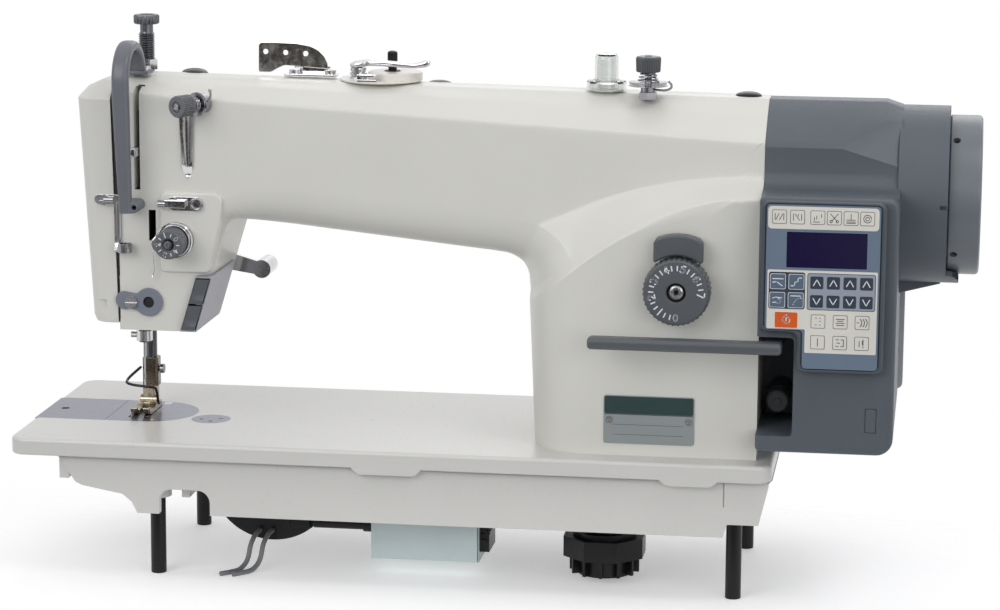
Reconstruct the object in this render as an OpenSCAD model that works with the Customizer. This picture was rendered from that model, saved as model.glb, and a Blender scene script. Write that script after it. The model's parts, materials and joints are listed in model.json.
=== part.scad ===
// Flat-bed industrial lockstitch sewing machine head with a direct-drive motor box, standing on its bed legs.

// Machine axes: x runs along the bed to the right, y from the operator to the back, z up from the bed top.

/* [Bed] */
// Length of the bed slab
bed_l = 476; // [440:1:520]
// Depth of the bed slab
bed_w = 178; // [170:1:200]
// Thickness of the bed slab
slab_t = 11; // [9:0.5:14]
// Corner radius of the bed slab
bed_corner_r = 10; // [4:1:20]
// Depth of the front and rear skirts below the bed top
skirt_h = 46.4; // [42:0.2:56]
// Set-back of the skirts from the slab edge
skirt_inset = 5; // [3:0.5:8]
// Wall thickness of the skirts
skirt_t = 6; // [4:0.5:8]
// Height of the bed top above the floor
leg_reach = 90; // [84:1:120]
// Radius of a leg
leg_r = 4.9; // [4:0.1:6]
// Thickness of the slide, needle and cover plates
plate_t = 2.5; // [2:0.1:3.5]
// Width of the slide plate and the needle plate
plate_w = 60; // [54:1:66]
// Length of the slide plate
slide_plate_l = 46; // [40:1:50]
// Radius of the round bed cover
cover_r = 12.5; // [10:0.5:14]

/* [Arm] */
// Left end plane of the arm casting at its foot
head_x = 60; // [56:0.5:61]
// Distance of the arm's right end from the bed's right end
arm_set_back = 10.4; // [8:0.1:14]
// Height of the arm's crown line at the left end
crown_h = 220.4; // [215:0.2:228]
// Depth of the casting's axis plane behind the bed's front edge
axis_y = 88; // [84:1:94]
// Half width of the head
head_half_w = 42; // [40:1:46]
// Half width of the arm
arm_half_w = 48; // [44:1:52]
// Half width of the pillar
pillar_half_w = 70.5; // [66:0.5:74]
// Height of the underside of the head
head_foot_z = 62; // [58:1:66]
// Height of the arm's underside beside the head
under_z_left = 132.8; // [126:0.2:138]
// Height of the arm's underside beside the pillar
under_z_right = 116.7; // [112:0.1:122]
// Radius of the throat corner beside the pillar
throat_r = 22; // [16:1:28]
// Length of the pillar along the bed
pillar_l = 144.6; // [140:0.2:150]

/* [Shafts] */
// Height of the main shaft
shaft_z = 156.4; // [152:0.2:160]
// Radius of the main shaft
shaft_r = 8; // [6:0.5:9]
// Depth of the hook shaft below the bed top
hook_z = -23; // [-26:0.5:-23]
// Radius of the hook shaft
hook_shaft_r = 6; // [5:0.5:7]
// Radial running clearance of a shaft in its bush
run_fit = 0.05; // [0.02:0.01:0.08]
// Gap between fixed pieces that are assembled together
seat_gap = 0.1; // [0.05:0.05:0.2]
// Gap round moving pieces that are not a fit
free_gap = 0.5; // [0.4:0.1:1]

/* [Needle and presser] */
// Distance of the needle from the left end of the bed
needle_x = 65.3; // [64:0.1:66]
// Radius of the needle bar
needle_bar_r = 3.6; // [3:0.1:4]
// Needle bar stroke
needle_stroke = 30.5; // [28:0.5:31]
// Radius of the needle blade
needle_r = 0.55; // [0.4:0.05:0.8]
// Radius of the presser bar
presser_bar_r = 3.75; // [3:0.05:4.2]
// Distance of the presser bar behind the needle
presser_back = 17; // [16.5:0.5:18]

/* [Controls] */
// Radius of the stitch dial's face
dial_r = 20.6; // [18:0.2:22]
// Thickness of the stitch dial
dial_t = 15; // [12:0.5:17]
// Height of the stitch dial above the bed top
dial_z = 105.3; // [103:0.1:107]
// Distance of the stitch dial from the arm's right end
dial_inset = 48.9; // [47:0.1:52]
// Radius of the main tension knob
tension_r = 9.25; // [8:0.25:10]
// Front of the reverse lever before the bed's front edge
lever_out = 14; // [12:0.5:18]
// Height of the reverse lever
lever_z = 75; // [72:0.5:76]

/* [Drive] */
// Radius of the handwheel
handwheel_r = 49; // [44:0.5:50]
// Width of the handwheel
handwheel_w = 19; // [15:0.5:24]
// Radius of the motor cover
motor_r = 54.6; // [53:0.2:58]
// Length of the control box along the bed
box_l = 82.4; // [78:0.2:90]
// Height of the control box's underside above the bed top
box_foot_z = 10; // [6:0.5:14]
// Height of the control box's ledge above the panel
box_ledge_z = 165; // [162:0.5:168]

/* [Hidden] */

// Overall reference: the origin is the middle of the footprint, on the floor
arm_end_x = bed_l - arm_set_back; // right end plane of the arm casting
pillar_x = arm_end_x - pillar_l; // left wall of the pillar under the throat corner
dial_x = arm_end_x - dial_inset;
handwheel_x = arm_end_x + box_l + 29; // left face of the handwheel
handwheel_x1 = handwheel_x + handwheel_w;
origin_x = handwheel_x1 / 2;
origin_y = (bed_w - lever_out) / 2;
big = 400; // reach of cutting bodies

// Arm surface lines along x
crown_drop = 0.0155; // fall of the crown line per millimetre
crease_left = 213.5; // height of the front crease at the head's left plane
crease_drop = 0.055;
edge_left = 218.6; // height of the shoulder edge at the head's left plane
edge_drop = 0.034;
edge_half_w = 28; // half width between the two shoulder edges
crown_half_w = 10; // half width of the level crown
head_end_x = head_x + 67; // right side of the head under the arm
head_slant = 0.30; // lean of the head's right side
seam_lean = 0.0225; // lean of the face plate seam
swoosh_x = pillar_x + 4; // left end of the raised pillar front
swoosh_l = arm_end_x - swoosh_x;
swoosh_hi_z = 170.5;
swoosh_hi_drop = 35;
swoosh_lo_z = 160.5;
swoosh_lo_drop = 48;
swoosh_lo_x = swoosh_x + 25;
head_round = 12; // edge rounding of the head
arm_round = 24; // edge rounding of the arm's underside
pillar_round = 38; // edge rounding of the pillar's left side

pillar_front = axis_y - pillar_half_w;
arm_front = axis_y - arm_half_w;
head_front = axis_y - head_half_w;

function lerp(a, b, t) = a + (b - a) * t;
function clamp01(t) = max(0, min(1, t));
function crown_z(x) = crown_h - crown_drop * (x - head_x);
function crease_z(x) = crease_left - crease_drop * (x - head_x);
function edge_z(x) = edge_left - edge_drop * (x - head_x);
function swoosh_hi(x) = swoosh_hi_z - swoosh_hi_drop * pow(1 - clamp01((x - swoosh_x) / swoosh_l), 2.2);
function swoosh_lo(x) =
    swoosh_lo_z - swoosh_lo_drop * pow(1 - clamp01((x - swoosh_lo_x) / (arm_end_x - swoosh_lo_x)), 2);
function seam_x(z) = head_x - seam_lean * (z - head_foot_z);

// Half width of the casting at a point of its front elevation
function body_half(x) = lerp(head_half_w, arm_half_w, clamp01((x - head_end_x) / 260));
function raised(x, z) = x < swoosh_x - 10 ? 0 : clamp01((swoosh_hi(x) - z) / (swoosh_hi(x) - swoosh_lo(x)));
function half_at(x, z) =
    z > edge_z(x) ? lerp(edge_half_w, crown_half_w, clamp01((z - edge_z(x)) / (crown_z(x) - edge_z(x))))
    : z > crease_z(x) ? lerp(body_half(x), edge_half_w, (z - crease_z(x)) / (edge_z(x) - crease_z(x)))
    : lerp(body_half(x), pillar_half_w, raised(x, z));

// Share of the way from p to q at which the line rises through a height curve (0 lo, 1 hi, 2 crease, 3 edge)

function curve_z(k, x) = k == 0 ? swoosh_lo(x) : k == 1 ? swoosh_hi(x) : k == 2 ? crease_z(x) : edge_z(x);
function on_line(p, q, t) = [lerp(p[0], q[0], t), lerp(p[1], q[1], t)];
function cross_at(p, q, k, a = 0, b = 1, n = 14) =
    n == 0 ? (a + b) / 2
    : let (m = (a + b) / 2, c = on_line(p, q, m))
        c[1] > curve_z(k, c[0]) ? cross_at(p, q, k, a, m, n - 1) : cross_at(p, q, k, m, b, n - 1);
function above(q, k) = q[1] > curve_z(k, q[0]) + 0.5;

// One closed section of the casting between an inner point p and an outer point q
function section_steps(p, q, r) =
    let (l = norm(q - p), t5 = r / l, crowned = above(q, 3),
        tc = above(q, 2) ? cross_at(p, q, 2) : 0.95,
        te = crowned ? cross_at(p, q, 3) : (tc + 1) / 2,
        on_pillar = q[0] > swoosh_x + 5,
        tl = on_pillar && above(q, 0) ? min(cross_at(p, q, 0), 0.87) : lerp(t5, tc, 0.45),
        th = on_pillar && above(q, 1) ? min(cross_at(p, q, 1), 0.91) : lerp(t5, tc, 0.75),
        lo = max(tl, t5 + 0.05), hi = max(th, lo + 0.03))
    [t5, (t5 + lo) / 2, lo, hi, tc, te, crowned ? lerp(te, 1, 0.7) : 1];
round_steps = 4;
function half_section(p, q, r) =
    let (steps = section_steps(p, q, r), start = on_line(p, q, steps[0]), w = half_at(start[0], start[1]))
    concat(
        [for (i = [0 : round_steps - 1]) let (a = 90 * i / round_steps)
            concat(on_line(p, q, steps[0] * (1 - cos(a))), [w - r + r * sin(a)])],
        [for (t = steps) let (c = on_line(p, q, t)) concat(c, [half_at(c[0], c[1])])]);
function section(p, q, r) =
    let (half = half_section(p, q, r), n = len(half))
    concat(
        [[p[0], axis_y, p[1]]],
        [for (h = half) [h[0], axis_y - h[2], h[1]]],
        [[q[0], axis_y, q[1]]],
        [for (i = [n - 1 : -1 : 0]) [half[i][0], axis_y + half[i][2], half[i][1]]]);

// Stations of the casting from the head's foot, along the arm, to the pillar's foot: inner point, outer
// point and edge rounding
throat_z = under_z_right - throat_r;
function under_z(x) = lerp(under_z_left, under_z_right,
    (x - head_end_x - 9) / (pillar_x - throat_r - head_end_x - 9));
function head_side(z) = head_end_x + 2 - head_slant * (under_z_left - 2 - z);
function throat(a) = [pillar_x - throat_r + throat_r * sin(a), throat_z + throat_r * cos(a)];
head_stations = [for (s = [[0, 0], [18, 20], [38, 42], [54, 64], [62, 92], [67, 122]])
    [[head_side(head_foot_z + s[0]), head_foot_z + s[0]], [seam_x(head_foot_z + s[1]),
        head_foot_z + s[1]], head_round]];
corner_stations = [
    [[head_end_x + 4.5, under_z_left - 0.8], [seam_x(205), 205], 14],
    [[head_end_x + 8, under_z_left], [seam_x(213), crown_z(head_x) - 5], 16],
    [[head_end_x + 12, under_z(head_end_x + 12)], [head_x + 5, crown_z(head_x + 5)], 18],
    [[head_end_x + 17, under_z(head_end_x + 17)], [head_x + 32, crown_z(head_x + 32)], 20],
    [[head_end_x + 25, under_z(head_end_x + 25)], [head_x + 64, crown_z(head_x + 64)], 22]];
arm_stations = [for (k = [0 : 0.25 : 1]) let (x = lerp(head_end_x + 43, pillar_x - throat_r - 15, k))
    [[x, under_z(x)], [x + (x - 225) * 0.1, crown_z(x)], arm_round]];
throat_stations = [for (s = [[0, -9, 24], [25, 17, 26], [48, 47, 30], [68, 89, 34]])
    [throat(s[0]), [pillar_x + s[1], crown_z(pillar_x + s[1])], s[2]]];
function wall_x(z) = lerp(pillar_x + 4, pillar_x, z / throat_z);
pillar_stations = [for (s = [[throat_z, crown_z(arm_end_x) - 0.01], [throat_z - 7, edge_z(arm_end_x)],
        [throat_z - 14, crease_z(arm_end_x)], [throat_z - 22, swoosh_hi_z], [throat_z - 30, swoosh_lo_z],
        [throat_z - 46, 128], [throat_z - 68, 68], [0, 0]])
    [[wall_x(s[0]), s[0]], [arm_end_x, s[1]], pillar_round]];
stations = concat(head_stations, corner_stations, arm_stations, throat_stations, pillar_stations);

module loft(rings) {
    n = len(rings[0]);
    m = len(rings);
    polyhedron(
        points = [for (r = rings) for (p = r) p],
        faces = concat(
            [[for (i = [0 : n - 1]) (n - i) % n]],
            [for (j = [0 : m - 2]) for (i = [0 : n - 1]) for (k = [0, 1])
                let (a = j * n + i, b = j * n + (i + 1) % n, c = a + n, d = b + n)
                k == 0 ? [a, b, c] : [b, d, c]],
            [[for (i = [0 : n - 1]) (m - 1) * n + i]]));
}

// Placed primitives
module block(x0, x1, y0, y1, z0, z1) translate([x0, y0, z0]) cube([x1 - x0, y1 - y0, z1 - z0]);
module rod_x(x0, x1, y, z, r) translate([x0, y, z]) rotate([0, 90, 0]) cylinder(h = x1 - x0, r = r,
    $fn = 48);
module rod_y(y0, y1, x, z, r) translate([x, y1, z]) rotate([90, 0, 0]) cylinder(h = y1 - y0, r = r,
    $fn = 48);
module rod_z(z0, z1, x, y, r) translate([x, y, z0]) cylinder(h = z1 - z0, r = r, $fn = 48);
module tube_x(x0, x1, y, z, r, bore) difference() {
    rod_x(x0, x1, y, z, r);
    rod_x(x0 - 1, x1 + 1, y, z, bore);
}
module tube_y(y0, y1, x, z, r, bore) difference() {
    rod_y(y0, y1, x, z, r);
    rod_y(y0 - 1, y1 + 1, x, z, bore);
}
module tube_z(z0, z1, x, y, r, bore) difference() {
    rod_z(z0, z1, x, y, r);
    rod_z(z0 - 1, z1 + 1, x, y, bore);
}
// A front-elevation outline given in x and z, as a plate between two depths
module plate_xz(y0, y1) translate([0, y1, 0]) rotate([90, 0,
    0]) linear_extrude(height = y1 - y0) children();
// A side-elevation outline given in y and z, as a bar between two lengths
module bar_yz(x0, x1) translate([x0, 0, 0]) rotate([90, 0, 90]) linear_extrude(height = x1 - x0) children();
module round_rect(x0, x1, y0, y1, r) {
    translate([x0 + r, y0]) square([x1 - x0 - 2 * r, y1 - y0]);
    translate([x0, y0 + r]) square([x1 - x0, y1 - y0 - 2 * r]);
    for (x = [x0 + r, x1 - r], y = [y0 + r, y1 - r]) translate([x, y]) circle(r = r, $fn = 48);
}
module slotted_head(r, h, slot = 1.1) difference() {
    cylinder(h = h, r = r, $fn = 32);
    translate([-r - 1, -slot / 2, h * 0.5]) cube([2 * r + 2, slot, h]);
}
module stand() translate([-origin_x, -origin_y, leg_reach]) children();

// Bed layout
plate_round_x = 70; // centre of the needle plate's round end
plate_half = plate_w / 2;
cover_x = 112.5;
cover_y = axis_y - 15.5;
well_x0 = 22; // well under the plates
well_x1 = 84;
well_half = 22;
belt_x0 = arm_end_x - 29.6; // timing belt's left side
belt_w = 10;
shaft_well_x0 = belt_x0 - 12;
shaft_well_x1 = belt_x0 + belt_w + 8;
shaft_well_half = 30;
leg_xs = [88.6, bed_l - 23.5];
leg_ys = [27.3, 147.8];
leg_top = -18;
hinge_xs = [110, bed_l - 110];
hinge_z = -26;
hinge_bore_r = 5;
hinge_depth = 18;
rock_y = axis_y + 40;
rock_z = -32;
rock_r = 6;
rib_xs = [107, pillar_x - 21, bed_l - 67];
rib_t = 5;
bush_l = 14;
hook_bush_r = 10;
plate_screw_y = 25.5;
slot_half = 1.5; // half width of the feed slots
slot_pitch = 5.2;
feed_half = 16; // half length of the outer feed rows
feed_stroke = 2.5;
arch_x0 = 95;
arch_x1 = 127.5;

skirt_x1 = bed_l - 29; // right end of the skirts' full depth
end_wall_x = [31, bed_l - 8 - skirt_t];
module skirt_outline() difference() {
    polygon([[30, -slab_t], [41.5, -28], [46, -30], [71.5, -34.5], [77.5, -39.5], [81, -skirt_h],
        [skirt_x1, -skirt_h], [skirt_x1 + 2.5, -38], [bed_l - 7.5, -38], [bed_l - 2, -15], [bed_l - 1.5,
            -slab_t]]);
    round_rect(arch_x0, arch_x1, -skirt_h - 20, -30.5, 8);
}
module bed_wall(x, t, y0, z0) block(x, x + t, y0, bed_w - skirt_inset - 1, z0, -slab_t + 1);
module plate_outline(gap) {
    translate([slide_plate_l, axis_y - plate_half + gap]) square([plate_round_x - slide_plate_l,
        plate_w - 2 * gap]);
    translate([plate_round_x, axis_y]) circle(r = plate_half - gap, $fn = 96);
}
module dovetail(gap) polygon([
    [axis_y - plate_half + gap, 1], [axis_y - plate_half + gap, 0],
    [axis_y - plate_half - plate_t + gap, -plate_t], [axis_y + plate_half + plate_t - gap, -plate_t],
    [axis_y + plate_half - gap, 0], [axis_y + plate_half - gap, 1]]);

module bed_casting() color("ivory") stand() difference() {
    union() {
        translate([0, 0, -slab_t]) linear_extrude(height = slab_t) round_rect(0, bed_l, 0, bed_w,
            bed_corner_r);
        for (y = [skirt_inset, bed_w - skirt_inset - skirt_t]) plate_xz(y, y + skirt_t) skirt_outline();
        bed_wall(end_wall_x[0], skirt_t, skirt_inset + 1, -26);
        bed_wall(end_wall_x[1], skirt_t, skirt_inset + 1, -38);
        bed_wall(rib_xs[0], rib_t, skirt_inset + 11, -38);
        for (x = [rib_xs[1], rib_xs[2]]) bed_wall(x, rib_t, skirt_inset + 1, -38);
        for (x = [rib_xs[0], rib_xs[2]])
            rod_x(x - 4, x - 4 + bush_l, axis_y, hook_z, hook_bush_r + 3.5);
        for (x = [rib_xs[0], rib_xs[1]]) rod_x(x - 4, x - 4 + bush_l, rock_y, rock_z, rock_r + 4);
        for (x = leg_xs, y = leg_ys) rod_z(-40, -slab_t + 1, x, y, leg_r + 4);
        for (x = hinge_xs)
            rod_y(bed_w - skirt_inset - hinge_depth - 4, bed_w - skirt_inset - 1, x, hinge_z,
                hinge_bore_r + 4);
        block(221, 258, skirt_inset - 4, skirt_inset + 1, -slab_t - 4, -slab_t + 1);
        block(bed_l - 65, bed_l - 36, skirt_inset - 4, skirt_inset + 1, -slab_t - 3, -slab_t + 1);
    }
    translate([0, 0, -plate_t]) linear_extrude(height = plate_t + 1) plate_outline(0);
    bar_yz(-1, slide_plate_l + 0.01) dovetail(0);
    block(well_x0, well_x1, axis_y - well_half, axis_y + well_half, -slab_t - 30, 1);
    rod_z(-plate_t, 1, cover_x, cover_y, cover_r + seat_gap);
    block(shaft_well_x0, shaft_well_x1, axis_y - shaft_well_half, axis_y + shaft_well_half, -slab_t - 1, 1);
    for (x = leg_xs, y = leg_ys) rod_z(-41, leg_top + seat_gap, x, y, leg_r + seat_gap);
    for (x = hinge_xs) rod_y(bed_w - skirt_inset - hinge_depth, bed_w + 1, x, hinge_z, hinge_bore_r);
    for (x = [rib_xs[0], rib_xs[2]]) rod_x(x - 5, x + bush_l, axis_y, hook_z, hook_bush_r + seat_gap / 2);
    for (x = [rib_xs[0], rib_xs[1]]) rod_x(x - 5, x + bush_l, rock_y, rock_z, rock_r + run_fit);
    rod_x(rib_xs[1] - 1, rib_xs[1] + rib_t + 1, axis_y, hook_z, hook_shaft_r + 3);
    block(skirt_x1 - 0.2, skirt_x1 + 0.6, skirt_inset - 1, skirt_inset + 1.2, -27, -slab_t);
}

module slide_plate() color("slategray") stand() difference() {
    bar_yz(0.2, slide_plate_l - 0.15) intersection() {
        dovetail(0.3);
        translate([0, -plate_t]) square([bed_w, plate_t]);
    }
    rod_z(-plate_t - 1, 1, 11.6, axis_y, 2.6);
}

module needle_plate() color("slategray") stand() difference() {
    translate([0, 0, -plate_t]) linear_extrude(height = plate_t) difference() {
        intersection() {
            plate_outline(seat_gap);
            translate([slide_plate_l + 0.15, 0]) square([big, bed_w]);
        }
        translate([needle_x, axis_y]) {
            circle(r = 2 * needle_r, $fn = 32);
            for (k = [-1, 1]) translate([k * slot_pitch - slot_half, -feed_half - feed_stroke - 0.6])
                square([2 * slot_half, 2 * (feed_half + feed_stroke + 0.6)]);
            translate([-slot_half, 3.4]) square([2 * slot_half, feed_half + feed_stroke + 0.6 - 3.4]);
        }
    }
    for (k = [-1, 1]) rod_z(-1.6, 1, plate_round_x + 4, axis_y + k * plate_screw_y, 3.4);
}

module bed_cover() color("slategray") stand() difference() {
    rod_z(-plate_t, 0, cover_x, cover_y, cover_r);
    for (p = [[-6, -1], [6, 2], [1, -6]]) rod_z(-plate_t - 1, 1, cover_x + p[0], cover_y + p[1], 1.4);
}

module legs() color("#19191b") stand()
    for (x = leg_xs, y = leg_ys) rod_z(-leg_reach, leg_top, x, y, leg_r);

// Head layout
presser_y = axis_y + presser_back;
head_hole = [head_foot_z - 1, head_foot_z + 13];
chamber_z0 = 74;
chamber_z1 = 200;
lug_z = 168; // underside of the lug that holds the upper bushes
lug_x = head_x + 11.5;
chamber_half = 30;
upper_bush_top = 204;
needle_bush_r = 5.5;
presser_bush_r = 5.6;
screw_r = 5.2; // radius of the pressure screw
slot_x0 = 71.6; // take-up slot
slot_x1 = 75.3;
slot_z0 = 151.7;
slot_z1 = 216;
pivot_y = axis_y + 8.2; // take-up lever pivot
pivot_z = lug_z + 5;
pivot_r = 2.2;
crank_r = needle_stroke / 2;
tension_x = 98.6;
tension_z = 121;
pad_front = head_front - 2.5;
front_bush_x = 120;
rear_bush_x = arm_end_x - 63.6;
tunnel_r = 14;
lifter_x = 80;
lifter_z = 100;
lifter_stud_r = 4;

// Seats of the top fittings: x, y, top of the seat, radius
guard_seat = [68, 72, 221.4, 9];
nut_seat = [needle_x, presser_y, 220.9, 8];
winder_seat = [220, axis_y + 6, 218.4, 27];
sight_seat = [pillar_x + 43, axis_y - 4, 216.4, 13.5];
post_seat = [arm_end_x - 74.1, axis_y - 20, 213.5, 6.5];
bracket_seat = [156, 192.4, axis_y + 1, axis_y + 15, 219.6];
plug_spots = [[97, axis_y + 17], [92, axis_y + 35], [255.5, axis_y + 16],
    [arm_end_x - 13.6, axis_y + 2]];
plug_r = 8.2;
function plug_z(p) = lerp(crown_z(p[0]), edge_z(p[0]),
    clamp01((abs(p[1] - axis_y) - crown_half_w) / 18)) - 1.6;

switch_w = 10.5;
function switch_x(z) = head_side(z) + 2;
module switch_outline(gap) polygon([
    [switch_x(head_foot_z) - switch_w + gap, head_foot_z + 0.2], [switch_x(head_foot_z), head_foot_z + 0.2],
    [switch_x(98), 98 - gap], [switch_x(98) - switch_w + gap, 98 - gap]]);
switch_y0 = head_front - 2;
switch_y1 = axis_y + 20;

module arm_casting() color("ivory") stand() difference() {
    union() {
        loft([for (s = stations) section(s[0], s[1], s[2])]);
        plate_xz(pad_front, head_front + 14) polygon([[88, 100], [88, 148], [91, 151], [head_end_x - 3,
            151],
            [head_end_x + 1.5, 148], [head_end_x, under_z_left - 2], [head_side(100), 100]]);
        rod_y(pillar_front - 4, pillar_front + 5, dial_x, dial_z, dial_r + 0.6);
        for (p = [guard_seat, nut_seat, winder_seat, sight_seat]) rod_z(p[2] - 16, p[2], p[0], p[1], p[3]);
        rod_z(196, post_seat[2], post_seat[0], post_seat[1], post_seat[3]);
        block(bracket_seat[0], bracket_seat[1], bracket_seat[2], bracket_seat[3], 204, bracket_seat[4]);
    }
    block(lug_x, head_x + 58, axis_y - chamber_half, axis_y + chamber_half, chamber_z0, chamber_z1);
    block(head_x - 12, lug_x + 1, axis_y - chamber_half, axis_y + chamber_half, chamber_z0, lug_z);
    rod_x(head_x + 57, arm_end_x + 1, axis_y, shaft_z, tunnel_r);
    block(shaft_well_x0, shaft_well_x1, axis_y - shaft_well_half, axis_y + shaft_well_half, -1,
        shaft_z + 28);
    rod_z(head_hole[0], head_hole[1], needle_x, axis_y, needle_bush_r + seat_gap / 2);
    rod_z(head_hole[0], head_hole[1], needle_x, presser_y, presser_bush_r + seat_gap / 2);
    rod_z(lug_z - 1, upper_bush_top, needle_x, axis_y, needle_bush_r + seat_gap / 2);
    rod_z(lug_z - 1, 230, needle_x, presser_y, screw_r + free_gap);
    rod_x(head_x, lug_x + 1, pivot_y, pivot_z, pivot_r + seat_gap / 2);
    block(slot_x0, slot_x1, 20, axis_y - chamber_half + 1, slot_z0, slot_z1);
    block(80.5, 85, 20, axis_y - chamber_half + 1, 119.5, 139);
    rod_y(pad_front - 1, pad_front + 2.6, tension_x, tension_z, 10.5);
    rod_y(pad_front, pad_front + 16, tension_x, tension_z, 3 + seat_gap / 2);
    rod_y(pillar_front - 5, pillar_front + 26, dial_x, dial_z, 7 + seat_gap / 2);
    block(dial_x - 7.6, dial_x + 7.6, pillar_front - 5, pillar_front + 16, dial_z + 24.4, dial_z + 31.6);
    for (p = plug_spots) rod_z(plug_z(p), 240, p[0], p[1], plug_r + seat_gap);
    rod_y(axis_y + head_half_w - 12, axis_y + head_half_w + 1, lifter_x, lifter_z,
        lifter_stud_r + seat_gap / 2);
    plate_xz(switch_y0 - 20, switch_y1 + 0.2) polygon([
        [switch_x(head_foot_z - 2) - switch_w, head_foot_z - 2], [200, head_foot_z - 2], [200, 98],
        [switch_x(98) - switch_w, 98]]);
}

face_foot_z = head_foot_z + 4;
face_ring_z = [face_foot_z, face_foot_z + 4, 150, 208, 214.5, 218.6];
face_ring_x = [43, 41, 36.5, 33, 38, 47];
face_ring_half = [41, 41.6, 41.6, 41.6, 35, 28];
function face_section(i) =
    let (z = face_ring_z[i], x0 = face_ring_x[i], w = face_ring_half[i], r = i == 0 ? 11 : i == 5 ? 6 : 13,
        x1 = seam_x(z) - seat_gap)
    concat(
        [[x1, axis_y - w, z]],
        [for (a = [0 : 15 : 90]) [x0 + r - r * sin(a), axis_y - w + r - r * cos(a), z]],
        [for (a = [90 : -15 : 0]) [x0 + r - r * sin(a), axis_y + w - r + r * cos(a), z]],
        [[x1, axis_y + w, z]]);

module face_plate() color("ivory") stand() difference() {
    loft([for (i = [0 : len(face_ring_z) - 1]) face_section(i)]);
    block(45, big, axis_y - chamber_half - 2, axis_y + chamber_half + 2, chamber_z0, chamber_z1 - 2);
    block(30, 52, head_front - 10, head_front + 3, face_foot_z + 8.5, face_foot_z + 14.5);
    for (s = face_screws) rod_x(s[0] - 9, s[0], axis_y, s[1], 4.7);
}
face_screws = [[40, 108], [36, 190]];

module oval_plugs() color("#17171a") stand()
    for (p = plug_spots) translate([p[0], p[1], plug_z(p)]) rotate_extrude($fn = 48) polygon(concat(
        [[0, 0], [plug_r, 0], [plug_r, 1.6]],
        [for (a = [15 : 15 : 75]) [plug_r * cos(a), 1.6 + 2.6 * sin(a)]], [[0, 4.2]]));

guard_x0 = 62.5;
guard_x1 = 73.5;
guard_c = [guard_seat[1] - 22, guard_seat[2] - 0.6];
guard_out = 24;
guard_in = 17;
guard_foot_z = 139;
module take_up_guard() color("#5a5b63") stand() {
    intersection() {
        bar_yz(guard_x0 - 1, guard_x1 + 1) difference() {
            union() {
                translate(guard_c) circle(r = guard_out, $fn = 64);
                translate([guard_c[0] - guard_out, guard_foot_z])
                    square([2 * guard_out, guard_c[1] - guard_foot_z]);
            }
            translate(guard_c) circle(r = guard_in, $fn = 64);
            translate([guard_c[0] - guard_in, guard_foot_z - 1])
                square([2 * guard_in, guard_c[1] - guard_foot_z + 1]);
            translate([guard_c[0] + guard_in - 1, guard_foot_z - 1])
                square([20, guard_seat[2] - guard_foot_z + 1]);
        }
        plate_xz(0, 120) polygon([[guard_x0, 260], [guard_x0, 200], [guard_x0 + 3.5, guard_foot_z],
            [guard_x1 + 0.8, guard_foot_z], [guard_x1, 200], [guard_x1, 260]]);
    }
    difference() {
        block(guard_x0, guard_x1 + 2.5, guard_seat[1] - 7, guard_seat[1] + 9.2,
            guard_seat[2], guard_seat[2] + 2.5);
        rod_z(200, 240, guard_x1 - 2, guard_seat[1] + 5.7, 1.6);
    }
    block(guard_x0 + 4, guard_x1 + 5, guard_c[0] - guard_out + 1, head_front - seat_gap, guard_foot_z,
        guard_foot_z + 4);
}

lever_tip_y = guard_c[0] - guard_in + 6;
module take_up_lever() color("silver") stand() difference() {
    union() {
        rod_x(slot_x0 + 0.6, slot_x1 - 0.6, pivot_y, pivot_z, 7);
        rod_x(slot_x0 + 0.6, slot_x1 - 0.6, lever_tip_y, pivot_z + 3, 3.2);
        bar_yz(slot_x0 + 0.6, slot_x1 - 0.6) polygon([[pivot_y, pivot_z - 5], [pivot_y, pivot_z + 6],
            [lever_tip_y, pivot_z + 5.6], [lever_tip_y, pivot_z + 0.4]]);
    }
    rod_x(slot_x0, slot_x1, pivot_y, pivot_z, pivot_r + run_fit);
    rod_x(slot_x0, slot_x1, lever_tip_y, pivot_z + 3, 1.3);
}

needle_bar_foot = 46;
needle_bar_top = 202.5;
crank_z = shaft_z + crank_r;
link_l = 50;
link_x0 = slot_x1 + 1.9;
module needle_bar() color("silver") stand() {
    rod_z(needle_bar_foot, needle_bar_top, needle_x, axis_y, needle_bar_r);
    rod_z(crank_z - link_l - 7, crank_z - link_l + 7, needle_x, axis_y, 6.2);
    rod_x(needle_x, link_x0 - free_gap, axis_y, crank_z - link_l, 2.6);
}

module needle_clamp() color("silver") stand() difference() {
    union() {
        rod_z(needle_bar_foot + 1, needle_bar_foot + 7.5, needle_x, axis_y, needle_bar_r + 1.6);
        rod_x(needle_x - 8.6, needle_x - 3, axis_y, needle_bar_foot + 4.5, 1.9);
    }
    rod_z(0, 100, needle_x, axis_y, needle_bar_r + 0.01);
}

needle_tip = 14;
module needle() color("gainsboro") stand() translate([needle_x, axis_y, 0]) {
    translate([0, 0, needle_tip]) cylinder(h = 2.5, r1 = 0.1, r2 = needle_r, $fn = 24);
    translate([0, 0, needle_tip + 2.5]) cylinder(h = needle_bar_foot - needle_tip - 12.5, r = needle_r,
        $fn = 24);
    translate([0, 0, needle_bar_foot - 10]) cylinder(h = 10, r = 1, $fn = 24);
}

module bar_bushes() color("goldenrod") stand() {
    tube_z(head_foot_z - 1, head_hole[1], needle_x, axis_y, needle_bush_r, needle_bar_r + run_fit);
    tube_z(head_foot_z - 1, head_hole[1], needle_x, presser_y, presser_bush_r, presser_bar_r + run_fit);
    tube_z(lug_z - 1, upper_bush_top - 4, needle_x, axis_y, needle_bush_r, needle_bar_r + run_fit);
    rod_x(head_x + 1, slot_x1 + 0.8, pivot_y, pivot_z, pivot_r);
}

presser_foot_z = 0.1;
presser_bar_top = 124;
module presser_bar() color("silver") stand() {
    rod_z(18, presser_bar_top, needle_x, presser_y, presser_bar_r);
    rod_z(presser_bar_top - 24, presser_bar_top - 14, needle_x, presser_y, 7.5);
}

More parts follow.
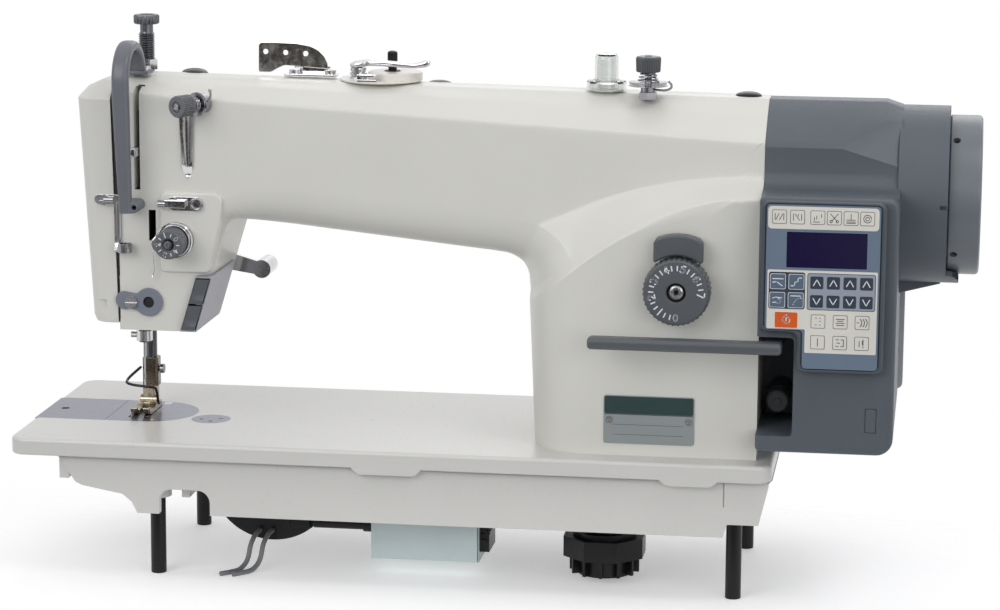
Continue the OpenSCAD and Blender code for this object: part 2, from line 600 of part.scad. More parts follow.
foot_half = 6.6;
module presser_foot() color("silver") stand() difference() {
    union() {
        block(needle_x - 5.3, needle_x + 5.3, presser_y - 5.4, presser_y + 5.4, 14, 33);
        block(needle_x - 4.4, needle_x + 4.4, axis_y + 7, presser_y + 4, 3, 15);
        bar_yz(needle_x - foot_half, needle_x + foot_half) polygon([[axis_y - 15, presser_foot_z + 3],
            [axis_y - 12, presser_foot_z], [presser_y, presser_foot_z], [presser_y, presser_foot_z + 5],
            [axis_y + 6, presser_foot_z + 5], [axis_y, presser_foot_z + 2.4], [axis_y - 11,
                presser_foot_z + 2.4],
            [axis_y - 14, presser_foot_z + 4.5]]);
        rod_x(needle_x + 5, needle_x + 8.6, presser_y, 25, 3);
    }
    rod_z(17.9, 40, needle_x, presser_y, presser_bar_r + 0.01);
    block(needle_x - 1.6, needle_x + 1.6, 0, axis_y + 3.4, -1, 20);
}

// Rings of an eight-sided tube along a softened row of points
function ring_of(p, t, r) =
    let (u = cross(t, [0, 0, 1]) / norm(cross(t, [0, 0, 1])), v = cross(u, t))
    [for (a = [0 : 45 : 315]) p + r * (cos(a) * u + sin(a) * v)];
function unit(v) = v / norm(v);
function tube_rings(points, r) = [for (i = [0 : len(points) - 1])
    ring_of(points[i], unit(points[min(i + 1, len(points) - 1)] - points[max(i - 1, 0)]), r)];
function soften(p, n) = n == 0 ? p
    : soften(concat([p[0]],
        [for (i = [0 : len(p) - 2], k = [0.25, 0.75]) lerp(p[i], p[i + 1], k)],
        [p[len(p) - 1]]), n - 1);
module wire(points, r) {
    for (i = [0 : len(points) - 2]) {
        a = points[i];
        d = points[i + 1] - a;
        translate(a) rotate([0, acos(d[2] / norm(d)), atan2(d[1], d[0])]) cylinder(h = norm(d), r = r,
            $fn = 24);
    }
    for (p = points) translate(p) sphere(r = r * 1.002, $fn = 24);
}

guard_wire = [[needle_x - 6.6, presser_y - 3, 26], [needle_x - 11.8, axis_y - 2, 21],
    [needle_x - 9.5, axis_y - 10, 19.5], [needle_x + 8, axis_y - 12, 18.5], [needle_x + 9.5, axis_y - 8,
        17.5],
    [needle_x + 9.5, axis_y - 4, 6], [needle_x + 7.7, axis_y + 8, 4.2]];
guard_wire_r = 0.9;
module finger_guard() color("#141414") stand() loft(tube_rings(soften(guard_wire, 2), guard_wire_r));

module presser_spring() color("silver") stand()
    tube_z(presser_bar_top + 0.2, upper_bush_top, needle_x, presser_y, screw_r, 4);

module pressure_screw() color("silver") stand() {
    rod_z(upper_bush_top + 1, 246, needle_x, presser_y, 3.4);
    rod_z(upper_bush_top + 0.2, 231, needle_x, presser_y, screw_r);
    for (z = [232 : 2.6 : 245]) rod_z(z, z + 1.6, needle_x, presser_y, screw_r);
    rod_z(245, 251, needle_x, presser_y, 4);
    difference() {
        rod_z(250.6, 256, needle_x, presser_y, 8.2);
        for (a = [0 : 15 : 345]) translate([needle_x, presser_y, 0]) rotate([0, 0, a]) rod_z(250, 257,
            8.5, 0, 0.6);
    }
}

module lifter_lever() color("silver") stand() difference() {
    union() {
        rod_y(axis_y + head_half_w + 2, axis_y + head_half_w + 6, lifter_x, lifter_z, 9);
        plate_xz(axis_y + head_half_w + 2, axis_y + head_half_w + 6) polygon([[lifter_x, lifter_z - 8],
            [lifter_x + 52, lifter_z - 16], [lifter_x + 54, lifter_z - 8], [lifter_x, lifter_z + 8]]);
        rod_y(axis_y + head_half_w + 2, axis_y + head_half_w + 24, lifter_x + 53, lifter_z - 12, 6);
    }
    rod_y(0, bed_w, lifter_x, lifter_z, lifter_stud_r + run_fit);
}

// Thread control on the front of the head
module fluted_y(y0, y1, r, n, flute) difference() {
    rod_y(y0, y1, 0, 0, r);
    for (a = [0 : 360 / n : 359]) rod_y(y0 - 1, y1 + 1, (r + flute * 0.45) * cos(a),
        (r + flute * 0.45) * sin(a), flute);
}
pre_at = [116, head_front, 207];
pre_turn = -26.6;
pre_stud_r = 2;
module pre_frame() translate(pre_at) rotate([0, 0, pre_turn]) children();

module pretension_base() color("silver") stand() {
    difference() {
        pre_frame() rod_y(-4, 5, 0, 0, 6);
        block(90, 140, head_front - seat_gap, head_front + 20, 190, 220);
    }
    pre_frame() {
        rod_y(-26, -2, 0, 0, pre_stud_r);
        rod_y(-5.4, -4.4, 0, 0, 7.4);
        rod_y(-6.8, -5.8, 0, 0, 7.4);
        tube_y(-12.7, -6.8, 0, 0, 4.8, 3.6);
    }
    plate_xz(head_front - 1.5, head_front - seat_gap) polygon([[101.3, 209], [114, 211], [114, 203],
        [110.2, 198.5],
        [109.2, 165.9], [105.9, 159.5], [102.8, 165.7], [101.3, 198.3]]);
    wire([[114, 43, 205], [119, 41, 208], [123, 40, 212], [122, 38.5, 216]], 0.7);
}
module pretension_knob() color("silver") stand() pre_frame() difference() {
    fluted_y(-25, -13, 6.9, 24, 0.7);
    rod_y(-27, -12, 0, 0, pre_stud_r + run_fit);
}

hook_plate_y = head_front - seat_gap;
module left_thread_hook() color("silver") stand() {
    plate_xz(hook_plate_y - 1.3, hook_plate_y) polygon([[46, 142], [46, 148], [62.6, 148], [62.6, 116],
        [58.8, 116],
        [58.8, 142]]);
    wire([[60.7, hook_plate_y - 0.7, 118], [60.8, hook_plate_y - 1.6, 113], [64, hook_plate_y - 3, 111],
        [69, hook_plate_y - 3, 112.5], [71, hook_plate_y - 3, 116], [68.5, hook_plate_y - 3, 119],
        [64.5, hook_plate_y - 3, 118]], 0.7);
}

module thread_guide() color("silver") stand() difference() {
    union() {
        plate_xz(pad_front - 1.5, pad_front) round_rect(89, 116.5, 139, 149, 3);
        block(92, 113, pad_front - 6, pad_front - 0.5, 139, 140.5);
        block(92, 113, pad_front - 6, pad_front - 5, 139, 144);
    }
    for (x = [95.5, 102.5, 109.5]) rod_y(pad_front - 9, pad_front - 4, x, 142, 1);
}

tension_boss_r = 10.2;
tension_stud_r = 3;
tension_boss_y = pad_front - 1.5;
knob_y0 = 22;
knob_y1 = 36;
module tension_post() color("silver") stand() {
    rod_y(tension_boss_y, pad_front + 2.5, tension_x, tension_z, tension_boss_r);
    rod_y(knob_y0 - 0.6, pad_front + 15, tension_x, tension_z, tension_stud_r);
    for (y = [tension_boss_y - 1, tension_boss_y - 2.2]) rod_y(y, y + 0.8, tension_x, tension_z, 11.4);
    rod_y(tension_boss_y - 1.4, tension_boss_y, tension_x, tension_z, 5);
    tube_y(knob_y1 + 0.2, tension_boss_y - 1.9, tension_x, tension_z, 6.4, 5);
}
module tension_knob() color("#1b1b1e") stand() difference() {
    translate([tension_x, 0, tension_z]) fluted_y(knob_y0, knob_y1, tension_r, 30, 0.7);
    rod_y(knob_y0 - 1, knob_y1 + 1, tension_x, tension_z, tension_stud_r + run_fit);
    rod_y(knob_y0 - 1, knob_y0 + 3, tension_x, tension_z, 5.2);
}
module check_spring() color("silver") stand() {
    tube_y(pad_front - 1.2, pad_front - 0.4, tension_x, tension_z, tension_boss_r + 1.2,
        tension_boss_r + run_fit);
    wire([[tension_x - 7, pad_front - 0.85, tension_z - 8.6], [84, pad_front - 0.85, 101],
        [82, pad_front - 0.85, 98.5], [83.5, pad_front - 1.5, 97]], 0.4);
}
module eyelet_plate() color("lightslategray") stand() difference() {
    plate_xz(head_front - 2.3, head_front - seat_gap) {
        translate([66.2, 80.6]) circle(r = 9, $fn = 48);
        translate([80, 80.4]) circle(r = 9, $fn = 48);
        translate([66.2, 74.6]) square([13.8, 12]);
    }
    rod_y(0, 60, 80, 80.4, 3.6);
}

button_split = 80;
button_inset = 1.1;
button_out = 2.4;
button_travel = 1.5;
module button_outline(z0, z1, gap) polygon([
    [switch_x(z0) - switch_w + button_inset - gap, z0 - gap], [switch_x(z0) - button_inset + gap, z0 - gap],
    [switch_x(z1) - button_inset + gap, z1 + gap], [switch_x(z1) - switch_w + button_inset - gap,
        z1 + gap]]);
button_spans = [[button_split + 0.7, 96.2], [head_foot_z + 1.8, button_split - 0.7]];
module switch_box() color("thistle") stand() difference() {
    plate_xz(switch_y0, switch_y1) switch_outline(0.15);
    for (b = button_spans) plate_xz(switch_y0 - 1, switch_y0 + 5 + 2 * button_travel)
        button_outline(b[0], b[1], 0.35);
}
module button(span) color("lavender") stand() difference() {
    plate_xz(switch_y0 - button_out, switch_y0 + 5) button_outline(span[0], span[1], 0);
    translate([switch_x((span[0] + span[1]) / 2) - switch_w / 2, switch_y0 - button_out - 21.2,
        (span[0] + span[1]) / 2])
        sphere(r = 22, $fn = 64);
}
module upper_button() button(button_spans[0]);
module lower_button() button(button_spans[1]);

// Fittings on the arm's top
module hole_bracket() color("silver") stand() difference() {
    union() {
        block(157, bracket_seat[1] - 1, bracket_seat[2] + 1.5, bracket_seat[3] - 1, bracket_seat[4],
            bracket_seat[4] + 1.6);
        plate_xz(bracket_seat[3] - 2.6, bracket_seat[3] - 1) polygon([[139.8, 229], [139.8, 240], [184,
            240],
            [186.5, 237], [186.5, bracket_seat[4]], [158, bracket_seat[4]], [156, 224]]);
    }
    for (x = [144.6, 157.4, 170.4]) rod_y(60, 140, x, 234.4, 2);
}

winder_z = winder_seat[2];
spindle_at = [227, axis_y + 7];
spindle_r = 2.7;
winder_pivot = [206, axis_y + 2];
winder_stud_r = 2.2;
winder_lever_z = winder_z + 8.6;
module winder_base() color("ivory") stand() {
    difference() {
        union() {
            rod_z(winder_z, winder_z + 1.4, winder_seat[0], winder_seat[1], winder_seat[3] - 1);
            translate([229, winder_seat[1], winder_z + 1.4]) rotate_extrude($fn = 96)
                polygon([[0, 0], [17, 0], [16.4, 1.2], [14, 2.1], [9, 2.9], [0, 3.1]]);
            rod_z(winder_z, winder_lever_z - 0.2, winder_pivot[0], winder_pivot[1], 5);
            rod_z(winder_z, winder_lever_z + 3, winder_pivot[0], winder_pivot[1], winder_stud_r);
        }
        rod_z(winder_z - 1, 300, spindle_at[0], spindle_at[1], spindle_r + run_fit);
    }
    difference() {
        block(208, 221, axis_y - 19, axis_y - 13, winder_z + 1.4, winder_z + 6);
        block(211, 222, axis_y - 20, axis_y - 14, winder_z + 3, winder_z + 4.4);
    }
}
module winder_spindle() color("#1d1d20") stand() {
    rod_z(winder_z + 0.3, winder_z + 18, spindle_at[0], spindle_at[1], spindle_r);
    rod_z(winder_z + 5, winder_z + 6.6, spindle_at[0], spindle_at[1], 5);
    rod_z(winder_z + 18, winder_z + 19, spindle_at[0], spindle_at[1], spindle_r - 0.8);
    rod_z(winder_z + 8, winder_z + 10, spindle_at[0], spindle_at[1], spindle_r + 0.4);
}
module winder_lever() color("#1d1d20") stand() difference() {
    union() {
        rod_z(winder_lever_z, winder_lever_z + 2.4, winder_pivot[0], winder_pivot[1], 5.4);
        translate([0, 0, winder_lever_z]) linear_extrude(height = 2)
            polygon([[winder_pivot[0], winder_pivot[1] - 5], [252, axis_y - 9], [252, axis_y - 3],
                [winder_pivot[0], winder_pivot[1] + 3]]);
        block(249.6, 252, axis_y - 9, axis_y - 3, winder_lever_z, winder_lever_z + 6);
    }
    rod_z(200, 240, winder_pivot[0], winder_pivot[1], winder_stud_r + run_fit);
}

module oil_sight() color("whitesmoke") stand() translate([sight_seat[0], sight_seat[1], sight_seat[2]])
    rotate_extrude($fn = 96) polygon([[0, 0], [12.4, 0], [12.4, 2.2], [9.6, 4], [9, 7.6], [7.2, 8], [7.2,
        19],
        [6, 21.6], [3.6, 22.9], [0, 23.1]]);

top_stud_r = 2.2;
post_z = post_seat[2];
module top_post() color("silver") stand() {
    translate([post_seat[0], post_seat[1], post_z]) cylinder(h = 4.5, r = 6, $fn = 6);
    rod_z(post_z, post_z + 27, post_seat[0], post_seat[1], top_stud_r);
    rod_z(post_z + 4, post_z + 7.8, post_seat[0], post_seat[1], 4.5);
    for (z = [7.5, 9]) rod_z(post_z + z, post_z + z + 1.1, post_seat[0], post_seat[1], 12.2);
    rod_z(post_z + 8, post_z + 10, post_seat[0], post_seat[1], 5);
    tube_z(post_z + 10, post_z + 16.2, post_seat[0], post_seat[1], 4.6, 3.4);
    wire([[post_seat[0] + 4, post_seat[1] - 1, post_z + 6], [post_seat[0] + 12, post_seat[1] - 6,
        post_z + 6],
        [post_seat[0] + 15.6, post_seat[1] - 8, post_z + 9], [post_seat[0] + 14, post_seat[1] - 10,
            post_z + 12]], 0.7);
}
module top_knob() color("silver") stand() difference() {
    rod_z(post_z + 16.5, post_z + 26.2, post_seat[0], post_seat[1], 7.8);
    for (a = [0 : 18 : 342]) rod_z(0, 300, post_seat[0] + 8.2 * cos(a), post_seat[1] + 8.2 * sin(a), 0.8);
    rod_z(0, 300, post_seat[0], post_seat[1], top_stud_r + run_fit);
}

// Controls on the pillar
dial_back = pillar_front - 4 - free_gap;
dial_front = dial_back - dial_t;
dial_shaft_r = 4;
module stitch_dial() color("#4b4e52") stand() difference() {
    union() {
        translate([dial_x, 0, dial_z]) fluted_y(dial_front + 1.4, dial_back, dial_r, 40, 0.9);
        rod_y(dial_front, dial_back, dial_x, dial_z, dial_r - 1.6);
        rod_y(dial_front, pillar_front + 24, dial_x, dial_z, dial_shaft_r);
    }
    rod_y(dial_front - 1, dial_front + 1.2, dial_x, dial_z, 8.4);
    block(dial_x - 3.8, dial_x + 3.8, dial_front - 1, dial_front + 2.4, dial_z - 0.6, dial_z + 0.6);
}
lock_travel = 2;
module dial_lock() color("#4b4e52") stand() {
    plate_xz(pillar_front - 13, pillar_front - 1.5 - lock_travel) difference() {
        round_rect(dial_x - 14.7, dial_x + 15.3, dial_z + 17.4, dial_z + 34.2, 6);
        translate([dial_x, dial_z]) circle(r = dial_r + 0.8, $fn = 96);
    }
    block(dial_x - 7, dial_x + 7, pillar_front - 6, pillar_front + 13, dial_z + 25, dial_z + 31);
}

lever_pivot = [60, lever_z - 3];
lever_pin_r = 3;
lever_arm_x = [arm_end_x + 4.9, arm_end_x + 14.9];
module reverse_lever() color("#4b4e52") stand() difference() {
    union() {
        bar_yz(arm_end_x - 101.1, lever_arm_x[1] + 0.5) round_rect(-lever_out, -3, lever_z - 3.7,
            lever_z + 3.7, 2.6);
        block(lever_arm_x[0], lever_arm_x[1], -6, lever_pivot[0], lever_z - 3.7, lever_z + 2.5);
        rod_x(lever_arm_x[0], lever_arm_x[1], lever_pivot[0], lever_pivot[1], 5.5);
    }
    rod_x(lever_arm_x[0] - 1, lever_arm_x[1] + 1, lever_pivot[0], lever_pivot[1], lever_pin_r + run_fit);
}
name_x = [arm_end_x - 93.6, arm_end_x - 38.1];
name_z = 22.5; // height of the nameplate's middle
name_t = 0.8;
module nameplate() color("#878e8e") stand() difference() {
    plate_xz(pillar_front - name_t, pillar_front) round_rect(name_x[0], name_x[1], name_z - 15,
        name_z + 15, 1);
    for (x = [name_x[0] + 3.5, name_x[1] - 3.5]) rod_y(0, 60, x, name_z, 1.4);
}

// Motor box
box_x0 = arm_end_x + seat_gap;
box_x1 = arm_end_x + box_l;
box_front = -2;
box_back = 138;
motor_x1 = handwheel_x - 1; // right face of the motor cover
motor_bore_r = 47;
rotor_r = 32;
cavity_x1 = arm_end_x + 22.4;
rotor_x = [box_x0 + 30.3, box_x1 + 6];
cavity = [20, 80.5];
box_corner_r = 10;
module end_shell() polygon([[axis_y - arm_half_w, 120], [axis_y - arm_half_w, crease_z(arm_end_x)],
    [axis_y - edge_half_w, edge_z(arm_end_x)], [axis_y - crown_half_w, crown_z(arm_end_x)],
    [axis_y + crown_half_w, crown_z(arm_end_x)], [axis_y + edge_half_w, edge_z(arm_end_x)],
    [axis_y + arm_half_w, crease_z(arm_end_x)], [axis_y + arm_half_w, 120]]);
module motor_housing() color("#565f66") stand() {
    difference() {
        union() {
            bar_yz(box_x0, box_x1 - 34) end_shell();
            hull() {
                bar_yz(box_x1 - 34.1, box_x1 - 34) end_shell();
                rod_x(box_x1 - 1, box_x1, axis_y, shaft_z, motor_r);
            }
            plate_xz(box_front, box_back) {
                round_rect(box_x0, box_x1, box_foot_z, box_ledge_z, box_corner_r);
                round_rect(box_x0, cavity_x1 + 12, box_foot_z, box_ledge_z, 3);
            }
            rod_x(box_x1 - 1, motor_x1, axis_y, shaft_z, motor_r);
            intersection() {
                tube_x(motor_x1 - 1, motor_x1 + 8, axis_y, shaft_z, motor_r, motor_r - 3.6);
                block(motor_x1 - 2, motor_x1 + 9, 0, bed_w, 90, 112);
            }
            plate_xz(axis_y - 8, axis_y + 8) polygon([[box_x1 - 1, 80], [box_x1 - 1, 106], [motor_x1 - 4,
                106],
                [motor_x1 - 4, 101]]);
        }
        rod_x(rotor_x[0] - 12, motor_x1 - 4, axis_y, shaft_z, motor_bore_r);
        rod_x(box_x0 - 1, motor_x1 + 1, axis_y, shaft_z, tunnel_r);
        block(box_x0 - 1, cavity_x1, box_front - 1, 76, cavity[0], cavity[1]);
        block(box_x1 - 17, box_x1 - 10, box_front - 1, box_front + 4, 24, 39);
    }
    tube_x(rotor_x[0] - 3, rotor_x[1] + 3, axis_y, shaft_z, motor_bore_r + 0.5, rotor_r + 1);
    rod_x(box_x0 + 0.9, cavity_x1 + 1, lever_pivot[0], lever_pivot[1], lever_pin_r);
}
module rear_cover() color("lightgray") stand()
    plate_xz(box_back + seat_gap, 152) round_rect(box_x0 + 4.3, box_x1 + 3, 22, 104.5, 4);

panel_front = box_front - 7;
panel_x = [box_x0 + 1.3, box_x1 - 7];
// right edge from the panel's left edge less the overhang, and top, of the lever's notch
panel_notch = [29.5, 85];
notch_r = 4.5;
module panel_frame() color("#3e464c") stand() difference() {
    plate_xz(panel_front, box_front) difference() {
        round_rect(panel_x[0], panel_x[1], box_foot_z + 51, box_ledge_z - 1, 3);
        lever_notch(0);
    }
    plate_xz(panel_front - 1, panel_front + 0.8) overlay_outline(seat_gap);
}
module lever_notch(gap) round_rect(panel_x[0] - 17, panel_x[0] - 7 + panel_notch[0] + gap,
    box_foot_z + 30, panel_notch[1] + gap, notch_r);
module overlay_outline(gap) difference() {
    round_rect(panel_x[0] + 3.5 - gap, panel_x[1] - 3.4 + gap, box_foot_z + 53.6 - gap,
        box_ledge_z - 3 + gap, 1.5);
    lever_notch(2 * seat_gap + 1.6 - gap);
}
module panel_overlay() color("#d6d2c8") stand() plate_xz(panel_front - 0.2,
    panel_front + 0.8) overlay_outline(0);

// Drive
module handwheel() color("#4b4e52") stand() difference() {
    translate([handwheel_x, axis_y, shaft_z]) rotate([0, 90, 0]) rotate_extrude($fn = 128) polygon([
        [shaft_r + 0.01, 0], [handwheel_r - 1.2, 0], [handwheel_r, 1.2], [handwheel_r, handwheel_w - 2.5],
        [handwheel_r - 2.5, handwheel_w], [handwheel_r - 8, handwheel_w],
        [handwheel_r - 12, handwheel_w - 5],
        [22, handwheel_w - 5], [18, handwheel_w - 0.5], [shaft_r + 0.01, handwheel_w - 0.5]]);
    for (a = [50, -40]) translate([handwheel_x + 3.4, axis_y, shaft_z]) rotate([a - 90, 0, 0])
        rotate([90, 0, 0]) rod_z(handwheel_r - 8, handwheel_r + 2, 0, 0, 2);
}
pulley_r = 22;
flange_t = 1.2;
belt_gap = 0.35;
belt_t = 3;
module pulley(r) {
    rod_x(belt_x0, belt_x0 + belt_w, axis_y, 0, r);
    for (x = [belt_x0 - flange_t, belt_x0 + belt_w]) rod_x(x, x + flange_t, axis_y, 0, r + 2);
}
module main_shaft() color("gray") stand() {
    rod_x(88.4, handwheel_x1 - 1, axis_y, shaft_z, shaft_r);
    rod_x(rotor_x[0], rotor_x[1], axis_y, shaft_z, rotor_r);
    translate([0, 0, shaft_z]) pulley(pulley_r);
}
module front_crank() color("gray") stand() {
    difference() {
        union() {
            rod_x(88, 101, axis_y, shaft_z, 14);
            intersection() {
                rod_x(89, 101, axis_y, shaft_z, 26);
                block(88, 102, axis_y - 24, axis_y + 24, shaft_z - 30, shaft_z);
            }
            rod_x(88, 94, axis_y, crank_z, 8);
        }
        rod_x(88.3, 102, axis_y, shaft_z, shaft_r + 0.01);
    }
    rod_x(link_x0 - 0.3, 89, axis_y, crank_z, 4);
}
module crank_link() color("silver") stand() difference() {
    union() {
        rod_x(link_x0, link_x0 + 4.4, axis_y, crank_z, 8);
        rod_x(link_x0, link_x0 + 4, axis_y, crank_z - link_l, 5.4);
        block(link_x0 + 0.4, link_x0 + 3.6, axis_y - 4, axis_y + 4, crank_z - link_l, crank_z - 4);
    }
    rod_x(0, 200, axis_y, crank_z, 4 + run_fit);
    rod_x(0, 200, axis_y, crank_z - link_l, 2.7);
}
module shaft_bushes() color("goldenrod") stand() {
    for (x = [front_bush_x, rear_bush_x])
        tube_x(x, x + 14, axis_y, shaft_z, tunnel_r - seat_gap / 2, shaft_r + run_fit);
    for (x = [rib_xs[0], rib_xs[2]]) tube_x(x - 4, x - 4 + bush_l, axis_y, hook_z, hook_bush_r,
        hook_shaft_r + run_fit);
    tube_y(pillar_front - 4, pillar_front + 25, dial_x, dial_z, 7, dial_shaft_r + run_fit);
}
hook_pulley_r = pulley_r / 2;
belt_rise = asin((pulley_r - hook_pulley_r) / (shaft_z - hook_z)); // lean of the belt's two straight runs
function belt_arc(at, r, from, to) = [for (a = [0 : 12]) at + r * [cos(lerp(from, to, a / 12)),
    sin(lerp(from, to, a / 12))]];
module belt_outline(gap) polygon(concat(
    belt_arc([axis_y, shaft_z], pulley_r + gap, belt_rise, 180 - belt_rise),
    belt_arc([axis_y, hook_z], hook_pulley_r + gap, 180 - belt_rise, 360 + belt_rise)));
module timing_belt() color("#26262a") stand() bar_yz(belt_x0 + 0.3, belt_x0 + belt_w - 0.3) difference() {
    belt_outline(belt_gap + belt_t);
    belt_outline(belt_gap);
}

// Hook and feed under the needle plate
hook_x = needle_x + 1.7; // left face of the hook's rim
hook_r = 17;
journal_r = 3.2; // radius of the pin that centres the basket in the hook
pin_depth = 5;
module hook_shaft() color("silver") stand() {
    difference() {
        union() {
            rod_x(hook_x + 3.5, belt_x0 + belt_w + 6, axis_y, hook_z, hook_shaft_r);
            rod_x(hook_x, hook_x + 3, axis_y, hook_z, hook_r);
            rod_x(hook_x + 2.9, hook_x + 16, axis_y, hook_z, 10);
        }
        block(hook_x - 1, hook_x + 4, axis_y + 4, axis_y + 20, hook_z + 9, hook_z + 20);
        block(hook_x - 1, hook_x + 4, axis_y - 20, axis_y - 12, hook_z - 20, hook_z - 6);
        rod_x(hook_x - 1, hook_x + pin_depth + 0.6, axis_y, hook_z, journal_r + run_fit);
    }
    translate([0, 0, hook_z]) pulley(hook_pulley_r);
}
basket_x = needle_x - 1.2; // right face of the basket
module hook_basket() color("silver") stand() {
    difference() {
        union() {
            rod_x(basket_x - 12, basket_x, axis_y, hook_z, 14.5);
            rod_x(basket_x - 9, basket_x - 6, axis_y, hook_z, 15.4);
        }
        rod_x(basket_x - 13, basket_x - 2.4, axis_y, hook_z, 12.2);
    }
    rod_x(basket_x - 1, hook_x + pin_depth, axis_y, hook_z, journal_r);
    rod_x(basket_x - 12.6, basket_x - 4.8, axis_y, hook_z, 11.2);
    rod_x(basket_x - 13.4, basket_x - 12, axis_y, hook_z, 4);
    block(basket_x - 9, basket_x - 6, axis_y + 10.5, axis_y + well_half + 6, hook_z + 8.4,
        -slab_t - seat_gap);
}
feed_x0 = needle_x + 7.2; // left face of the feed bar
feed_x1 = feed_x0 + 8.5;
feed_z = -3; // top of the feed dog's base
rock_arm_l = 16;
feed_pin_r = 2.3;
module feed_bar() color("silver") stand() difference() {
    union() {
        for (k = [-1, 1]) {
            block(needle_x + k * slot_pitch - 1.5, needle_x + k * slot_pitch + 1.5, axis_y - 16,
                axis_y + 18,
                feed_z - 2.4, feed_z);
            block(needle_x + k * slot_pitch - 1, needle_x + k * slot_pitch + 1, axis_y - feed_half,
                axis_y + feed_half, feed_z - 1, -0.2);
        }
        block(needle_x - 1, needle_x + 1, axis_y + 7, axis_y + feed_half, feed_z - 1, -0.2);
        block(needle_x - slot_pitch, feed_x0 + 1, axis_y - 16, axis_y - 11, feed_z - 2.4, feed_z);
        block(needle_x - slot_pitch, feed_x0 + 1, axis_y + 6.6, axis_y + 18, feed_z - 2.4, feed_z);
        block(feed_x0, feed_x1, axis_y - 16, axis_y + 19, -12.2, feed_z);
        block(feed_x0, feed_x1, axis_y + 13.5, axis_y + 19, -19.5, -10);
        block(feed_x0, feed_x1, axis_y + 13.5, rock_y, -19.5, -12.6);
        rod_x(feed_x0, feed_x1, rock_y, rock_z + rock_arm_l, 4.5);
    }
    for (y = [-15.2 : 1.6 : 15.2]) translate([needle_x - 10, axis_y + y, 0.35]) rotate([45, 0, 0])
        translate([0, -0.55, -0.55]) cube([20, 1.1, 1.1]);
    rod_x(0, 200, rock_y, rock_z + rock_arm_l, feed_pin_r + 0.6);
}
module feed_rock_shaft() color("gray") stand() {
    rod_x(feed_x1 + 1.5, rib_xs[1] + bush_l, rock_y, rock_z, rock_r);
    rod_x(feed_x1 + 1.5, feed_x1 + 9, rock_y, rock_z, 9);
    block(feed_x1 + 1.5, feed_x1 + 7, rock_y - 4, rock_y + 4, rock_z, rock_z + rock_arm_l);
    rod_x(feed_x1 + 1.5, feed_x1 + 7, rock_y, rock_z + rock_arm_l, 4);
    rod_x(feed_x0 + 0.5, feed_x1 + 2, rock_y, rock_z + rock_arm_l, feed_pin_r);
    rod_x(rib_xs[1] - 24, rib_xs[1] - 12, rock_y, rock_z, 9);
}
pump_at = [rib_xs[2] - 40, 60];
module oil_pump() color("#202226") stand() translate([pump_at[0], pump_at[1], 0]) {
    rod_z(-60, -slab_t - seat_gap, 0, 0, 14);
    rod_z(-62, -58, 0, 0, 20);
    rotate([0, 0, 22.5]) translate([0, 0, -74]) cylinder(h = 13, r = 27, $fn = 8);
    rod_z(-86, -73, 0, 0, 17);
    for (a = [0 : 30 : 330]) rotate([0, 0, a]) block(16, 22, -1, 1, -85, -73);
}
module solenoids() color("#b9c8c6") stand() {
    block(rib_xs[1] - 78, rib_xs[1] - 9, 45, 80, -80, -46);
    difference() {
        block(rib_xs[1] - 12, rib_xs[1] - seat_gap, 48, 76, -74, -slab_t - seat_gap);
        block(rib_xs[1] - 13, rib_xs[1] - 3, 47, 77, -42, -slab_t - 4);
    }
    rod_x(180, rib_xs[1] - 76, 62, -62, 4);
    difference() {
        plate_xz(60, 66) {
            polygon([[117, -47], [192, -47], [194, -60], [150, -50], [117, -58]]);
            intersection() {
                translate([155, -34]) circle(r = 41, $fn = 96);
                translate([117, -76]) square([76, 29]);
            }
        }
        rod_y(50, 70, 155, -34, 24);
    }
    block(150, 160, 60.5, 65.5, -59, -slab_t - seat_gap);
    rod_y(30, 76, arm_end_x + 11.4, cavity[0] + 14, 7);
    block(arm_end_x + 2.4, arm_end_x + 20.4, 60, 76, cavity[0], cavity[0] + 16);
}
lead_points = [[129.4, 22.8, -88.4], [132.4, 25.5, -88.4], [135.1, 28.3, -88.4], [137.7, 31.4, -88.4],
    [139.3, 33.8, -88.1], [140.7, 36.1, -87.1], [141.9, 38.3, -85.6], [142.8, 40.1, -83.6],
    [143.4, 41.6, -81.2], [143.8, 42.5, -78.4], [144.1, 43.4, -75.7], [144.6, 44.9, -73.3],
    [145.2, 46.8, -71.3], [145.8, 49.2, -69.8], [146.3, 51.9, -68.8], [146.7, 54.7, -68.5],
    [146.9, 56.7, -68.5], [147, 59.7, -68.5]];
lead_r = 1.6;
module lead_pair() color("gray") stand()
    for (shift = [0, 8]) loft(tube_rings([for (p = lead_points) p + [shift, 0, 0]], lead_r));

